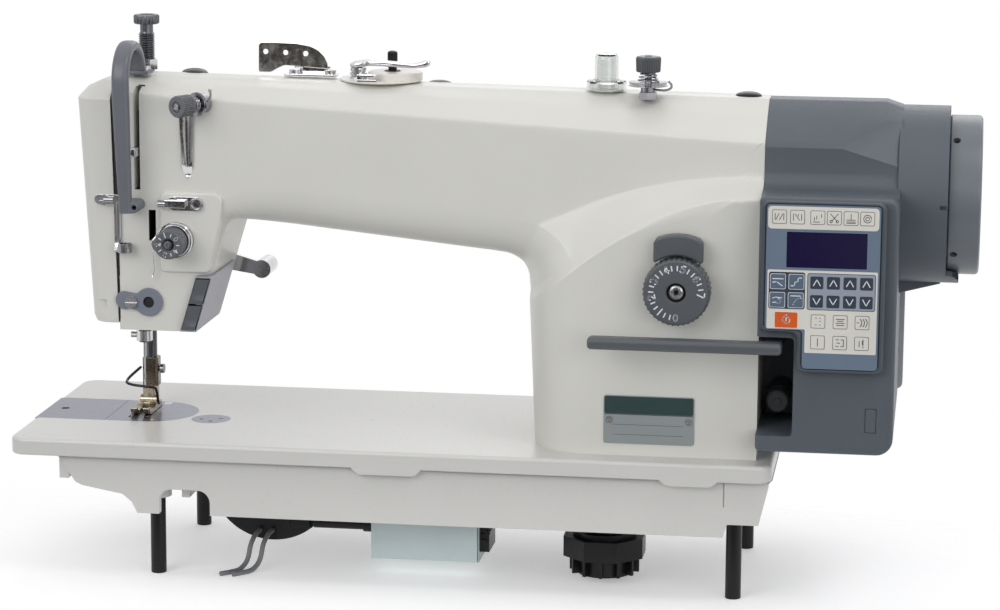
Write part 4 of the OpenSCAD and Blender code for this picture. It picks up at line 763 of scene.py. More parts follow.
def arm_stations():
    out = []
    for a, b in ((0, 0), (18, 20), (38, 42), (54, 64), (62, 92), (67, 122)):
        out.append(((head_side(HEAD_FOOT + a), HEAD_FOOT + a), (seam_x(HEAD_FOOT + b), HEAD_FOOT + b), 12))
    out.append(((HEAD_END + 4.5, UNDER_LEFT - 0.8), (seam_x(205), 205), 14))
    out.append(((HEAD_END + 8, UNDER_LEFT), (seam_x(213), crown_z(HEAD_X) - 5), 16))
    for dx, outer, r in ((12, HEAD_X + 5, 18), (17, HEAD_X + 32, 20), (25, HEAD_X + 64, 22)):
        out.append(((HEAD_END + dx, under_z(HEAD_END + dx)), (outer, crown_z(outer)), r))
    for k in range(5):
        x = lerp(HEAD_END + 43, PILLAR_X - THROAT_R - 15, k / 4)
        outer = x + (x - 225) * 0.1
        out.append(((x, under_z(x)), (outer, crown_z(outer)), 24))
    for angle, dx, r in ((0, -9, 24), (25, 17, 26), (48, 47, 30), (68, 89, 34)):
        out.append((throat(angle), (PILLAR_X + dx, crown_z(PILLAR_X + dx)), r))
    end = ARM_END
    for z, outer in ((THROAT_Z, crown_z(end) - 0.01), (THROAT_Z - 7, edge_z(end)),
                     (THROAT_Z - 14, crease_z(end)), (THROAT_Z - 22, 170.5), (THROAT_Z - 30, 160.5),
                     (THROAT_Z - 46, 128), (THROAT_Z - 68, 68), (0, 0)):
        out.append(((wall_x(z), z), (end, outer), 38))
    return out


def between(a, b, t, previous=None, following=None):
    """A section between two stations, on a smooth curve through the neighbours where they are given."""
    inner = tuple(cubic(*values, t) for values in zip(*(s[0] for s in (previous or a, a, b, following or b))))
    return (inner, (lerp(a[1][0], b[1][0], t), lerp(a[1][1], b[1][1], t)), lerp(a[2], b[2], t))


def build_arm():
    stations = arm_stations()
    rings = []
    throat_from = 16  # the first station round the throat, where the steps are closer
    for i in range(len(stations) - 1):
        steps = 6 if i < throat_from else 9
        near = (stations[i - 1], stations[i + 2]) if throat_from - 1 <= i <= throat_from + 2 else ()
        for k in range(steps):
            rings.append(arm_ring(*between(stations[i], stations[i + 1], k / steps, *near)))
    rings.append(arm_ring(*stations[-1]))
    arm = Piece("arm_casting_finished")
    arm.rings(rings)
    made = arm.stand_for("arm_casting", IVORY, DEEP_SHADE, smooth=50)
    switch_seat = [(head_side(60) - 8.5, 60), (200, 60), (200, 98), (head_side(98) - 8.5, 98)]
    seam = [(40, 50), (seam_x(50) + SEAM_GAP, 50), (seam_x(240) + SEAM_GAP, 240), (40, 240)]
    cut(made, *[lambda t, cut_out=cut_out: t.extrude(*cut_out) for cut_out in (
        (square(71.5, 118, 74, 200), 58, 118), (square(71.6, 75.3, 151.7, 216), 20, 60),
        (square(80.5, 85, 119.5, 139), 20, 60), (switch_seat, 24, AXIS_Y + 20.2), (seam, -10, 200))])
    # Painted shade: the faces inside the slots, the chamber, the bore and behind the seam take the dark second
    # finish.
    shade_inside(made, ((71.4, 75.5, 48, 60, 151.5, 216.2), (80.3, 85.2, 48, 60, 119.3, 139.2),
                        (71.3, 118.2, 57.9, 118.2, 73.8, 200.2), (40, 61.2, -10, 200, 40, 240)))


def build_pad():
    """The raised pad on the head's front that carries the thread guide and the main tension."""
    pad = Piece("head_pad")
    outline = [(88, 100), (88, 148), (91, 151), (124, 151), (128.5, 147.5), (126.6, 130.8),
               (head_side(100) - 1, 100)]
    pad.extrude(softened(outline, 2.6, 5), 43.5, 56, "y", 1.6, 4)
    pad.go_with("arm_casting", IVORY)


def shade_inside(piece, boxes):
    """Gives the faces inside the given boxes the dark second finish, a painted shade: the walls inside openings
    and the casting's end face behind the seam carry it instead of the enamel.
    """
    for face in piece.data.polygons:
        x, y, z = machine_point(face.center)
        if any(x0 < x < x1 and y0 < y < y1 and z0 < z < z1 for x0, x1, y0, y1, z0, z1 in boxes):
            face.material_index = 1


# ---------------------------------------------------------------- two short leads under the bed
LEAD_ROUTE = [
    (129.4, 22.8, -88.4), (132.4, 25.5, -88.4), (135.1, 28.3, -88.4), (137.7, 31.4, -88.4),
    (139.3, 33.8, -88.1), (140.7, 36.1, -87.1), (141.9, 38.3, -85.6), (142.8, 40.1, -83.6),
    (143.4, 41.6, -81.2), (143.8, 42.5, -78.4), (144.1, 43.4, -75.7), (144.6, 44.9, -73.3),
    (145.2, 46.8, -71.3), (145.8, 49.2, -69.8), (146.3, 51.9, -68.8), (146.7, 54.7, -68.5),
    (146.9, 56.7, -68.5), (147, 59.7, -68.5)]
LEAD_R = 1.6


def build_leads():
    for number, shift in enumerate((0, 8)):
        route = [(x + shift, y, z) for x, y, z in LEAD_ROUTE]
        lead = Piece("lead_%d" % (number + 1))
        lead.tube(route, LEAD_R, 16)
        made = (lead.go_with if number else lead.stand_for)("lead_pair", SHEATH)


build_leads()


# ---------------------------------------------------------------- motor housing
BOX_X0, BOX_X1, BOX_FRONT, BOX_BACK = 465.7, 548.0, -2.0, 138.0
FACET_X, SHELL_X1, COVER_X1, MOTOR_R = 512.0, 547.5, 576.0, 54.6


def shell_section(x):
    """Half of the housing's section, from the panel ledge up the front and over to the crown."""
    t = clamp01((x - FACET_X) / (SHELL_X1 - FACET_X))
    drop = 3.3 * clamp01((x - 537.5) / 10)
    front = [(14, 150), (14, 163.6), (24, 164.6), (31, 165.2), (35.5, 166.8), (38.6, 170), (39.8, 174.5)]
    front += [(40, lerp(189.2, 178.6, t)), (lerp(42.2, 58.6, t), lerp(192.6, 204.4, t))]
    front += [(61, 205.6 - 0.3 * drop), (77, 213.6 - drop), (82, 214.1 - drop)]
    return front


def build_housing():
    shell = Piece("motor_housing_shell")
    rings = []
    for x in (BOX_X0, 490, FACET_X, 525, 537.5, SHELL_X1):
        half = shell_section(x)
        rings.append([(x, y, z) for y, z in half + [(2 * AXIS_Y - y, z) for y, z in reversed(half)]])
    shell.rings(rings)
    round_off(shell.bm, sharp_edges(shell.bm, 12), 1.5, 3)
    whole = shell.stand_for("motor_housing", SLATE, SLATE_DARK, STEEL, MATT_SHADED_SLATE)

    def box(tool):
        corners = circle_points(BOX_X1 - 10, 20, 10, 8, -90, 90) + circle_points(BOX_X1 - 6, 159, 6, 6, 0, 90)
        corners += circle_points(BOX_X0 + 3, 162, 3, 4, 90, 90) + circle_points(BOX_X0 + 3, 13, 3, 4, 180, 90)
        tool.extrude(corners, BOX_FRONT, BOX_BACK, "y", 2.2, 4)

    def cover(tool):
        end = COVER_X1 + 0.32
        tool.revolve([(0.5, 546), (MOTOR_R - 0.3, 546), (MOTOR_R, 546.3), (MOTOR_R, COVER_X1),
                      (MOTOR_R - 0.3, end), (0.5, end)], (0, AXIS_Y, SHAFT_Z), "x", 112)

    def lip(tool):
        rows = []
        for i in range(41):
            a = radians(lerp(-58, -122, i / 40))
            near = min(i, 40 - i) * 1.6 / 9
            x1 = COVER_X1 - 1 + 9 * sqrt(max(0.02, 1 - (1 - clamp01(near)) ** 2))
            rows.append([(x, AXIS_Y - r * cos(a), SHAFT_Z + r * sin(a)) for r, x in (
                (50.8, COVER_X1 - 3), (50.8, x1 - 0.5), (51.3, x1), (54.1, x1), (MOTOR_R, x1 - 0.5),
                (MOTOR_R, COVER_X1 - 3))])
        tool.rings(rows)

    def gusset(tool):
        tool.extrude([(544, 95), (BOX_X1, 95), (573, 101.6), (573, 106), (544, 106)], 79, 97, "y", 0.8)

    for build in (box, cover, lip, gusset):
        join(whole, build)
    drill(whole, (AXIS_Y, SHAFT_Z, 47, 484, COVER_X1 - 4, "x", 96),
          (AXIS_Y, SHAFT_Z, 24, BOX_X0 - 1, COVER_X1 + 1, "x", 64))
    bay = softened(square(455, 487.9, 20, 80.5), 3, 4)
    notch = rounded_outline(571.4, 577.6, 154.6, 157.2, 0.9)
    lid = ((531, 531.5, 24, 39), (537.5, 538, 24, 39), (531.4, 537.6, 38.5, 39), (531.4, 537.6, 24, 24.5))
    cut(whole, *[lambda t, hollow=hollow: t.extrude(*hollow) for hollow in (
        [(bay, -4, 76), (notch, 20, 37.2)] + [(square(*line), -3, -1.3) for line in lid])])
    # The cover's end face takes the darker copy of the slate: painted shade for the gap line.
    for face in whole.data.polygons:
        if face.normal.x > 0.6 and machine_point(face.center)[0] > COVER_X1 - 0.6:
            face.material_index = 3
    inner = Piece("motor_stator")
    tube = ((493, 47.3), (551, 47.3), (551, 33.2), (493, 33.2), (493, 47.3))
    inner.rings([[(x, AXIS_Y + r * cos(a), SHAFT_Z + r * sin(a)) for a in around(72)] for x, r in tube], False)
    inner.finish_index = 1
    inner.go_with("motor_housing", STEEL, BRONZE)


# ---------------------------------------------------------------- handwheel
def build_handwheel():
    wheel = Piece("handwheel_drum")
    wheel.revolve([(7.8, 576.4), (47.6, 576.4), (48.6, 576.6), (49, 577.2), (49, 593.9), (48.4, 595.2),
                   (46.9, 596), (41.5, 596), (40.2, 595.4), (37.4, 591.4), (36, 591), (23, 591), (21.6, 591.6),
                   (19.2, 594.9), (18, 595.5), (7.8, 595.5)], (0, AXIS_Y, SHAFT_Z), "x", 144)
    made = wheel.stand_for("handwheel", WHEEL_GREY)

    def screw_hole(t, angle):
        """One of the two holes in the rim that the set screws are reached through."""
        way = Vector((0, -cos(radians(angle)), sin(radians(angle))))
        start = Vector((580.4, AXIS_Y, SHAFT_Z)) + way * 41
        t.tube([start, start + way * 10], 2.3, 32)

    cut(made, *[lambda t, angle=angle: screw_hole(t, angle) for angle in (50, -40)])


# ---------------------------------------------------------------- control panel
PANEL_Y = -9.2
FRAME_OUTLINE = [(489.5, 61), (541, 61), (541, 164), (467, 164), (467, 85), (489.5, 85)]
FACE_OUTLINE = [(493, 63.6), (537.6, 63.6), (537.6, 162), (470.5, 162), (470.5, 86.8), (493, 86.8)]


def build_panel_frame():
    frame_piece = Piece("panel_bezel")
    outer, inner = softened(FRAME_OUTLINE, 5.2, 8), softened(FACE_OUTLINE, 3.6, 8)
    profile = [(0, -2.02), (0, -6.9), (0.06, -7.9), (0.22, -8.6), (0.42, -8.96), (0.62, -8.98), (0.76, -8.7),
               (0.84, -8.1), (0.9, -7.9)]
    frame_piece.rings([[(lerp(p[0], q[0], t), y, lerp(p[1], q[1], t)) for p, q in zip(outer, inner)]
                       for t, y in profile])
    frame_piece.stand_for("panel_frame", SLATE_DARK, smooth=50)


class Print:
    """Flat fields, keys and line drawings laid on the panel's face, each a little prouder than the last."""

    def __init__(self, piece):
        self.piece = piece

    def field(self, x0, x1, z0, z1, index, lift, r=0.8, edge=0.0):
        self.piece.finish_index = index
        self.piece.extrude(rounded_outline(x0, x1, z0, z1, r, 4), PANEL_Y - lift, PANEL_Y + 0.3, "y", edge)

    def key(self, x, z, w, h, line, fill, lift=0.16):
        """A domed key about (x, z) with a fine printed border."""
        self.field(x - w / 2, x + w / 2, z - h / 2, z + h / 2, line, lift, 0.9)
        self.field(x - w / 2 + 0.3, x + w / 2 - 0.3, z - h / 2 + 0.3, z + h / 2 - 0.3, fill, lift + 0.08, 0.7,
                   0.07)
        self.lift = lift + 0.1

    def lines(self, x, z, runs, index, width):
        """Strokes drawn about (x, z)."""
        self.piece.finish_index = index
        self.piece.stroke(runs, lambda u, v: (x + u, z + v), width, PANEL_Y - self.lift - 0.03, PANEL_Y)


def arc(cx, cz, r, start=0, sweep=360, n=8):
    return circle_points(cx, cz, r, n, start, sweep)


# Line drawings of the keys, in millimetres about each key's middle.
SLANTS = [[(-2.6, -1.6), (-2.6, 1.8)], [(-2.2, -1.8), (-0.3, 1.8)], [(0, -1.8), (1.9, 1.8)],
          [(2.5, -1.8), (2.5, 1.8)]]
TWIN_SLANTS = [[(-2.4, -1.8), (-2.4, 1.8)], [(-1.4, 1.8), (1.2, -1.8)], [(0.4, 0.6), (0.4, 1.6)],
               [(2.4, -1.8), (2.4, 1.8)]]
STITCHES = [[(-2, 0.2), (-2, -1.6)], [(-0.6, 1), (-0.6, -0.8)], [(2.2, 2), (2.2, 0.2)],
            [(-2.6, -2.6), (1, -2.6)]]
SHEARS = [[(-2.2, 2.4), (1.4, -1.6)], [(2.2, 2.4), (-1.4, -1.6)], arc(1.8, -2.1, 0.7), arc(-1.8, -2.1, 0.7)]
LIFTED = [[(0, 2.6), (0, -0.9)], [(-2.4, -0.9), (2.4, -0.9)], [(-2.6, -2), (2.6, -2)],
          [(-2.6, -2.8), (2.6, -2.8)]]
SPOOL = [arc(0, 0, 2.3, 0, 360, 14), arc(0, 0, 1.1, 0, 360, 10)]
DOTS = [[(-1.4, 2), (-1, 2)], [(1, 2), (1.4, 2)], [(1, 0.2), (1.4, 0.2)], [(-1.4, -2), (-1, -2)],
        [(1, -2), (1.4, -2)]]
ROWS = [[(-2.4, 1.7), (2.4, 1.7)], [(-1.6, 0.6), (1.6, 0.6)], [(-2.4, -0.6), (2.4, -0.6)],
        [(-2, -1.9), (2, -1.9)]]
WAVES = [arc(-3.4, 0, 3.2, -45, 90), arc(-1.8, 0, 3.2, -45, 90), arc(-0.4, 0, 3.4, -45, 90), [(-3, 0), (-2, 0)]]
BAR = [[(0, -2.2), (0, 2.2)]]
CORNERS = [[(-2.2, 2), (-0.8, 2)], [(0.8, 2), (2.2, 2), (2.2, -2), (0.8, -2)], [(-2.2, -2), (-0.8, -2)],
           [(-1.6, 0), (0, 0)]]
PIN = [[(-1.4, 1.4), (-1.4, -1.8)], [(0.9, 2.4), (0.9, -1)], [(0.5, 1.6), (0.5, -0.4)],
       [(0.9, -1.8), (0.9, -2.4)]]
RISE = [[(-3, 1.6), (3, 1.6)], [(-3, -0.6), (-0.8, -0.2), (2.6, -2.6)]]
STEP = [[(-3, -2.4), (-1, -2.4), (-1, 0), (1, 0), (1, 2.4), (3, 2.4)]]
HUMP = [[(-2.6, 1), (-1, 1.6), (2.6, 1.2)], arc(0.6, -0.8, 1.5, 200, 250), [(-2.6, -1.6), (-1, -1.6)]]
BEND = [[(-2.8, 2.6), (2.8, 2.6)], arc(3.2, -3.2, 4.6, 90, 84)]


def build_panel():
    face = Piece("panel_membrane")
    face.extrude(softened(FACE_OUTLINE, 2.4, 6), PANEL_Y, PANEL_Y + 1.0, "y", 0.1)
    ink = Print(face)
    cream, dark, white, screen, orange, key_dark, key_blue, silver = range(1, 9)
    ink.field(471.3, 536.6, 147.5, 161, cream, 0.05, 2.2)
    ink.field(482.6, 530, 124.5, 145.8, screen, 0.06, 0.5)
    face.finish_index = cream
    face.extrude(softened([(494.4, 73.2), (536.6, 73.2), (536.6, 122.9), (471.6, 122.9), (471.6, 87.4),
                           (494.4, 87.4)], 0.8, 3), PANEL_Y - 0.04, PANEL_Y + 0.3)
    ink.field(472.5, 494, 99.4, 121.6, key_dark, 0.07, 1.4)
    ink.field(495.2, 535.6, 99.2, 121.4, dark, 0.07, 1.4)
    ink.field(495.6, 535.2, 99.6, 121, silver, 0.1, 1.2)
    for x, z, drawing in ((477.9, 115.9, RISE), (488.8, 115.9, STEP), (477.7, 104.8, HUMP),
                          (488.6, 104.8, BEND)):
        ink.key(x, z, 9.3, 9.3, white, key_blue)
        ink.lines(x, z, drawing, white, 0.55)
    for column in range(4):
        x = 500.9 + 9.75 * column
        for z, turn in ((115.7, 1), (104.5, -1)):
            ink.key(x, z, 7.7, 7.5, key_dark, key_dark)
            ink.lines(x, z, [[(-2, -1.7 * turn), (0, 1.9 * turn), (2, -1.7 * turn)]], white, 0.55)
    ink.key(483.2, 92.8, 14, 10, white, orange, 0.2)
    ink.lines(483.2, 92.8, [arc(0, 0, 2.2, 0, 360, 14), [(0, -0.4), (0, 3)]], white, 0.6)
    for column, drawings in enumerate(((DOTS, BAR), (ROWS, CORNERS), (WAVES, PIN))):
        for drawing, z in zip(drawings, (92.4, 79.8)):
            x = (502.1, 515.2, 528.1)[column]
            ink.key(x, z, 8.5, 8.3, dark, cream)
            ink.lines(x, z, drawing, dark, 0.45)
    top_row = (SLANTS, TWIN_SLANTS, STITCHES, SHEARS, LIFTED, SPOOL)
    for x, drawing in zip((478, 488.6, 500.5, 510.2, 520, 529.7), top_row):
        ink.key(x, 154.7, 8.6, 8.4, dark, cream)
        ink.lines(x, 154.7, drawing, dark, 0.42)
    face.stand_for("panel_overlay", PRINT_BLUE, PRINT_CREAM, PRINT_DARK, PRINT_WHITE, SCREEN, PRINT_ORANGE,
                   KEY_DARK, KEY_BLUE, PRINT_SILVER)


# ---------------------------------------------------------------- stitch dial, lock, lever and nameplate
DIAL_X, DIAL_Z = 416.7, 105.3
DIGITS = [  # strokes of 0 to 7, six units high
    [[(-1.2, 1), (-1.7, 3), (-1.2, 5), (0, 6), (1.2, 5), (1.7, 3), (1.2, 1), (0, 0), (-1.2, 1)]],
    [[(0, 6), (0, 0)]],
    [[(-1.7, 4.4), (-1.2, 5.6), (0, 6), (1.2, 5.6), (1.6, 4.4), (1, 3), (-1.7, 0), (1.7, 0)]],
    [[(-1.6, 5.2), (-0.6, 6), (0.8, 5.8), (1.5, 4.6), (0.9, 3.4), (-0.3, 3.1), (1.1, 2.8), (1.7, 1.5), (1, 0.3),
      (-0.4, 0), (-1.7, 0.9)]],
    [[(0.8, 0), (0.8, 6), (-1.8, 1.8), (1.8, 1.8)]],
    [[(1.5, 6), (-1.2, 6), (-1.5, 3.4), (0, 3.9), (1.3, 3.2), (1.7, 1.8), (1.1, 0.4), (-0.3, 0), (-1.7, 0.8)]],
    [[(1.3, 5.6), (0, 6), (-1.2, 5), (-1.7, 2.6), (-1.2, 0.6), (0, 0), (1.3, 0.7), (1.6, 2.1), (0.9, 3.3),
      (-0.4, 3.4), (-1.5, 2.4)]],
    [[(-1.7, 6), (1.7, 6), (-0.4, 0)]],
]


def number_on(piece, runs, centre, angle, scale, width, y0, y1):
    """Prints a digit or a tick on a round face; scale is its radius, its height and its width."""
    out = Vector((cos(radians(angle)), sin(radians(angle))))
    right = Vector((out.y, -out.x))
    radius, tall, wide = scale
    piece.stroke(runs, lambda u, v: Vector(centre) + out * (radius + tall * v) + right * wide * u,
                 width, y0, y1)


def build_dial():
    dial = Piece("stitch_dial_knob")

    def teeth(angle, radius, height):
        if radius < 19.6 or height < -0.7:
            return radius
        return radius - 0.75 * (0.5 + 0.5 * cos(40 * angle)) ** 0.5

    dial.revolve([(5.9, 1.2), (5.9, -1.4), (6.4, -2), (18.6, -2), (19.3, -1.7), (19.8, -0.9), (20.5, -0.4),
                  (20.6, 0.4), (20.6, 11.6), (19.9, 12.6), (17, 13), (5, 13), (5, 1.2)], (DIAL_X, 0, DIAL_Z),
                 "y", 320, teeth)
    dial.revolve([(2, 38), (4, 38), (4, 1.2), (2, 1.2)], (DIAL_X, 0, DIAL_Z), "y", 32)
    dial.finish_index = 2
    dial.revolve([(0.2, 1.6), (5.8, 1.6), (5.8, 1.15), (0.2, 1.15)], (DIAL_X, 0, DIAL_Z), "y", 48)
    dial.finish_index = 1
    for tick in range(22):
        runs = [[(0, 1.4), (0, 4.8)]] if tick % 3 else DIGITS[tick // 3]
        number_on(dial, runs, (DIAL_X, DIAL_Z), -90 - 39.1 * tick / 3, (12.9, 0.72, 0.78), 0.8, -2.06, -1.9)
    dial.stand_for("stitch_dial", DIAL_GREY, PRINT_WHITE, BLACK)
    screw = Piece("stitch_dial_screw")
    screw.revolve([(1.2, 1.3), (1.2, 0.4), (1.9, -0.6), (3.2, -0.7), (4.3, -0.1), (4.6, 0.9), (4.6, 1.3)],
                  (DIAL_X, 0, DIAL_Z), "y", 40)
    made = screw.go_with("stitch_dial", STEEL, slot=SLOT_OF["bar_bushes"])
    cut(made, lambda t: t.box(DIAL_X - 5, DIAL_X + 5, -1.5, 0.1, DIAL_Z - 0.55, DIAL_Z + 0.55, 0))


def build_dial_lock():
    lock = Piece("dial_lock_cap")
    top = [(DIAL_X + x, DIAL_Z + 34.2 - 3.6 * (x / 15) ** 2) for x in (13, 9, 5, 0, -5, -9, -13)]
    sides = [(DIAL_X - 14.6, DIAL_Z + 29), (DIAL_X - 14.6, DIAL_Z + 17.6)]
    low = circle_points(DIAL_X, DIAL_Z, 21.6, 13, 129, -78)
    outline = top + sides + [(DIAL_X - 13.8, DIAL_Z + 17.2)] + low
    outline += [(DIAL_X + 15.2, DIAL_Z + 17.6), (DIAL_X + 15.2, DIAL_Z + 29)]
    lock.extrude(outline, 4.5, 14.0, "y", 1.3, 4)
    lock.box(DIAL_X - 7, DIAL_X + 7, 13, 30.5, DIAL_Z + 25, DIAL_Z + 31, 0.3)
    lock.stand_for("dial_lock", DIAL_GREY)


def build_lever():
    lever = Piece("reverse_lever_bar")
    lever.extrude(rounded_outline(-14, -3, 71.3, 78.7, 2.9, 8), 364.5, 481, "x", 2.4, 5)
    lever.box(470.5, 480.5, -6, 58, 71.3, 77.5, 0.7)
    lever.disc(60, 72, 5.5, 470.5, 480.5, "x", 40, 0.4)
    made = lever.stand_for("reverse_lever", DIAL_GREY)
    join_shells(made)
    drill(made, (60, 72, 3.1, 469, 482, "x", 32))


def build_nameplate():
    plate = Piece("nameplate_blank")
    plate.extrude(rounded_outline(372, 427.5, 7.5, 37.5, 1.6, 6), 16.72, 17.5, "y", 0.18)
    plate.finish_index = 1
    plate.extrude(rounded_outline(372.5, 427, 26.2, 37, 1.2), 16.66, 17)
    plate.finish_index = 2
    plate.box(372.5, 427, 16.68, 17, 25.6, 26.1, 0)
    for z in (19.4, 13.2):
        plate.box(378, 421, 16.69, 17, z - 0.12, z + 0.12, 0)
    plate.stand_for("nameplate", PLATE_GREY, PLATE_GREEN, PRINT_DARK)


# ---------------------------------------------------------------- fittings on the head
def knurl(count, depth, least):
    """Fine teeth on the turned surface beyond a radius."""
    def teeth(angle, radius, height):
        if radius < least:
            return radius
        return radius - depth * abs(sin(count * angle / 2))
    return teeth


def build_guard():
    guard = Piece("take_up_guard_hoop")
    path = circle_points(50, 220.8, 20.5, 24, 2, 178)
    path += [(29.5, z) for z in range(212, 139, -8)] + [(29.5, 139.2)]
    rings = []
    for i, (y, z) in enumerate(path):
        before, after = path[max(i - 1, 0)], path[min(i + 1, len(path) - 1)]
        along = Vector((0, after[0] - before[0], after[1] - before[1])).normalized()
        out = Vector((0, along.z, -along.y))
        down = clamp01((212 - z) / 72) if y < 40 else 0
        x0, x1 = lerp(62.6, 66, down), lerp(73.4, 74.2, down)
        half, thick = (x1 - x0) / 2, 3.4 - 0.5 * down
        middle, wide = Vector(((x0 + x1) / 2, y, z)), Vector((half, 0, 0))
        rings.append([tuple(middle + wide * bulge(cos(a), 0.62) + out * (bulge(sin(a), 0.75) * thick))
                      for a in around(28)])
    guard.rings(rings)
    guard.box(62.8, 75.8, 66, 81, 221.5, 223.9, 0.8)
    guard.extrude(rounded_outline(66.4, 78.4, 139.2, 146.4, 3.4, 8), 27.4, 45.8, "y", 0.8, 3)
    made = guard.stand_for("take_up_guard", GUARD_GREY)
    join_shells(made)
    drill(made, (71.5, 77.7, 1.6, 210, 240, "z", 24), (76, 143, 1.5, 20, 60, "y", 24))


THREAD_PITCH = 1.5


def build_pressure_screw():
    screw = Piece("pressure_thumb_screw")
    centre = (65.3, 105, 0)
    profile = [(0.6, 204.4), (4.4, 204.4)]
    for z in (205.2 + THREAD_PITCH * turn for turn in range(26)):
        profile += [(4.55, z), (5.2, z + 0.55), (5.2, z + 0.85), (4.55, z + 1.4)]
    profile += [(4.5, 244.4), (4.2, 244.8), (4.2, 250.2), (0.6, 250.2)]
    screw.revolve(profile, centre, "z", 48)
    screw.revolve([(3.8, 250), (7.4, 250), (8.2, 250.8), (8.2, 255), (7.5, 255.9), (5.4, 256), (4.8, 255.4),
                   (0.4, 255.3)], centre, "z", 240, knurl(72, 0.28, 8.1))
    screw.stand_for("pressure_screw", GUN_METAL)


TENSION_X, TENSION_Z = 98.6, 121


def build_tension():
    knob = Piece("tension_knob_numbered")
    centre = (TENSION_X, 0, TENSION_Z)
    knob.revolve([(3.3, 25.5), (3.3, 23.4), (4.1, 22.5), (8.1, 22.05), (8.7, 22.3), (9.1, 23), (9.2, 24),
                  (9.2, 33.6), (8.9, 34.2), (8.9, 35.4), (9.2, 36), (5.4, 36), (5.4, 25.5)], centre, "y", 240,
                 knurl(48, 0.45, 9.15))
    knob.finish_index = 1
    for number in range(5):
        for runs, angle in ((DIGITS[number], 36 + 72 * number), ([[(0, 1.4), (0, 4.4)]], 72 * number)):
            number_on(knob, runs, (TENSION_X, TENSION_Z), angle, (4.9, 0.5, 0.52), 0.55, 21.9, 22.5)
    knob.stand_for("tension_knob", KNOB_GREY, PRINT_WHITE)

    post = Piece("tension_discs_and_stud")
    post.revolve([(3, 42), (10.2, 42), (10.2, 57.5), (3, 57.5)], centre, "y", 72)
    post.finish_index = 1
    for y, r in ((41.2, 10.4), (39.9, 11.4), (38.9, 11.2), (37.9, 9.9)):
        post.revolve([(3, y + 0.2), (r * 0.6, y + 0.1), (r - 0.3, y - 0.25), (r, y), (r - 0.1, y + 0.35),
                      (r * 0.7, y + 0.55), (3, y + 0.6)], centre, "y", 72)
    post.coil((TENSION_X, 26, TENSION_Z), "y", 4.7, 11.6, 5.5, 0.42)
    post.finish_index = 0
    post.revolve([(0.3, 22), (1.1, 21.9), (1.2, 21.5), (2.6, 21.6), (2.95, 22.2), (2.95, 58.4), (0.3, 58.4)],
                 centre, "y", 40)
    made = post.stand_for("tension_post", DARK_CHROME, CHROME)

    spring = Piece("check_spring_wire")
    eye = ((11.3, 42.4), (11.3, 42), (10.5, 42), (10.5, 42.8), (11.3, 42.8), (11.3, 42.4))
    spring.rings([[(TENSION_X + r * cos(t), y, TENSION_Z + r * sin(t)) for t in around(72)] for r, y in eye],
                 False)
    wire = [(90.2, 42.4, 128.6), (87.6, 42.2, 126), (85.6, 42, 123), (84.6, 42, 119.4), (84.6, 42, 115),
            (84.3, 42.1, 111), (84.2, 42.1, 107), (84.5, 42, 103.5), (84.4, 41.9, 100.5), (83.6, 41.8, 98),
            (83.2, 41.4, 96.9)]
    spring.tube(smoothed(wire, 3), 0.42, 10)
    spring.tube(smoothed([(86.2, 41.7, 122.6), (84, 41.3, 120.6), (83.4, 41.2, 117.6), (84.4, 41.4, 114.6),
                          (86, 41.8, 113)], 3), 0.75, 12)
    spring.stand_for("check_spring", CHROME)


PRE_AT = Vector((116, 46, 207))
PRE_TURN = radians(-26.6)  # its stud points a little to the left of the front


def turn_pre(piece):
    """Swings what the piece holds from the pretension's own frame, whose -y runs out along its stud."""
    for vert in piece.bm.verts:
        x, y, z = vert.co
        vert.co = (PRE_AT.x + x * cos(PRE_TURN) - y * sin(PRE_TURN),
                   PRE_AT.y + x * sin(PRE_TURN) + y * cos(PRE_TURN), PRE_AT.z + z)


def build_pretension():
    knob = Piece("pretension_knob_knurled")
    knob.revolve([(2.1, -13), (6.2, -13), (6.9, -13.7), (6.9, -24), (6.3, -24.8), (3.4, -25), (2.9, -24.4),
                  (2.1, -24.3)], (0, 0, 0), "y", 200, knurl(36, 0.45, 6.8))
    turn_pre(knob)
    knob.stand_for("pretension_knob", GUN_METAL)

    base = Piece("pretension_stud_and_discs")
    base.revolve([(0.4, -25.6), (1.5, -25.9), (2, -25.4), (2, -4), (5.4, -4), (6, -3.4), (6, 1.5), (0.4, 1.5)],
                 (0, 0, 0), "y", 48)
    for y in (-4.9, -6.3):
        base.revolve([(2, y + 0.3), (5, y + 0.2), (7.1, y - 0.3), (7.4, y), (7.2, y + 0.4), (5, y + 0.6),
                      (2, y + 0.6)], (0, 0, 0), "y", 56)
    base.coil((0, -12.6, 0), "y", 4.2, 5.6, 4.5, 0.45)
    turn_pre(base)
    base.tube(smoothed([(114, 43, 205), (118, 41.4, 207), (121.6, 40.4, 209.6), (122.8, 39.8, 212.4),
                        (122.6, 39, 215.4)], 3), 0.7, 12)
    base.revolve([(0.2, 215), (0.9, 215.3), (1.2, 216), (0.9, 216.7), (0.2, 217)], (122.5, 38.7, 0), "z", 24)
    base.stand_for("pretension_base", DARK_CHROME)
    strip = Piece("pretension_guide_strip")
    rows = []
    for z, x0, x1, out in ((208.5, 102.5, 114, 0), (203, 102, 114, 0), (199.5, 101.5, 110.6, 0.2),
                           (198, 101.3, 110.2, 0.5), (190, 101.6, 110, 0.8), (180, 102.1, 109.7, 0.9),
                           (170, 102.6, 109.3, 0.8), (166.5, 102.8, 109.2, 0.4), (164.6, 103.1, 108.9, -0.5),
                           (162.6, 103.5, 108.5, -1.3), (161, 104.2, 107.8, -1), (160.2, 104.8, 107.2, -0.2)):
        rows.append([(lerp(x0, x1, k / 8), 44.9 - out - 0.5 * sin(pi * k / 8), z) for k in range(9)])
    strip.strip(rows)
    strip.go_with("pretension_base", CHROME)


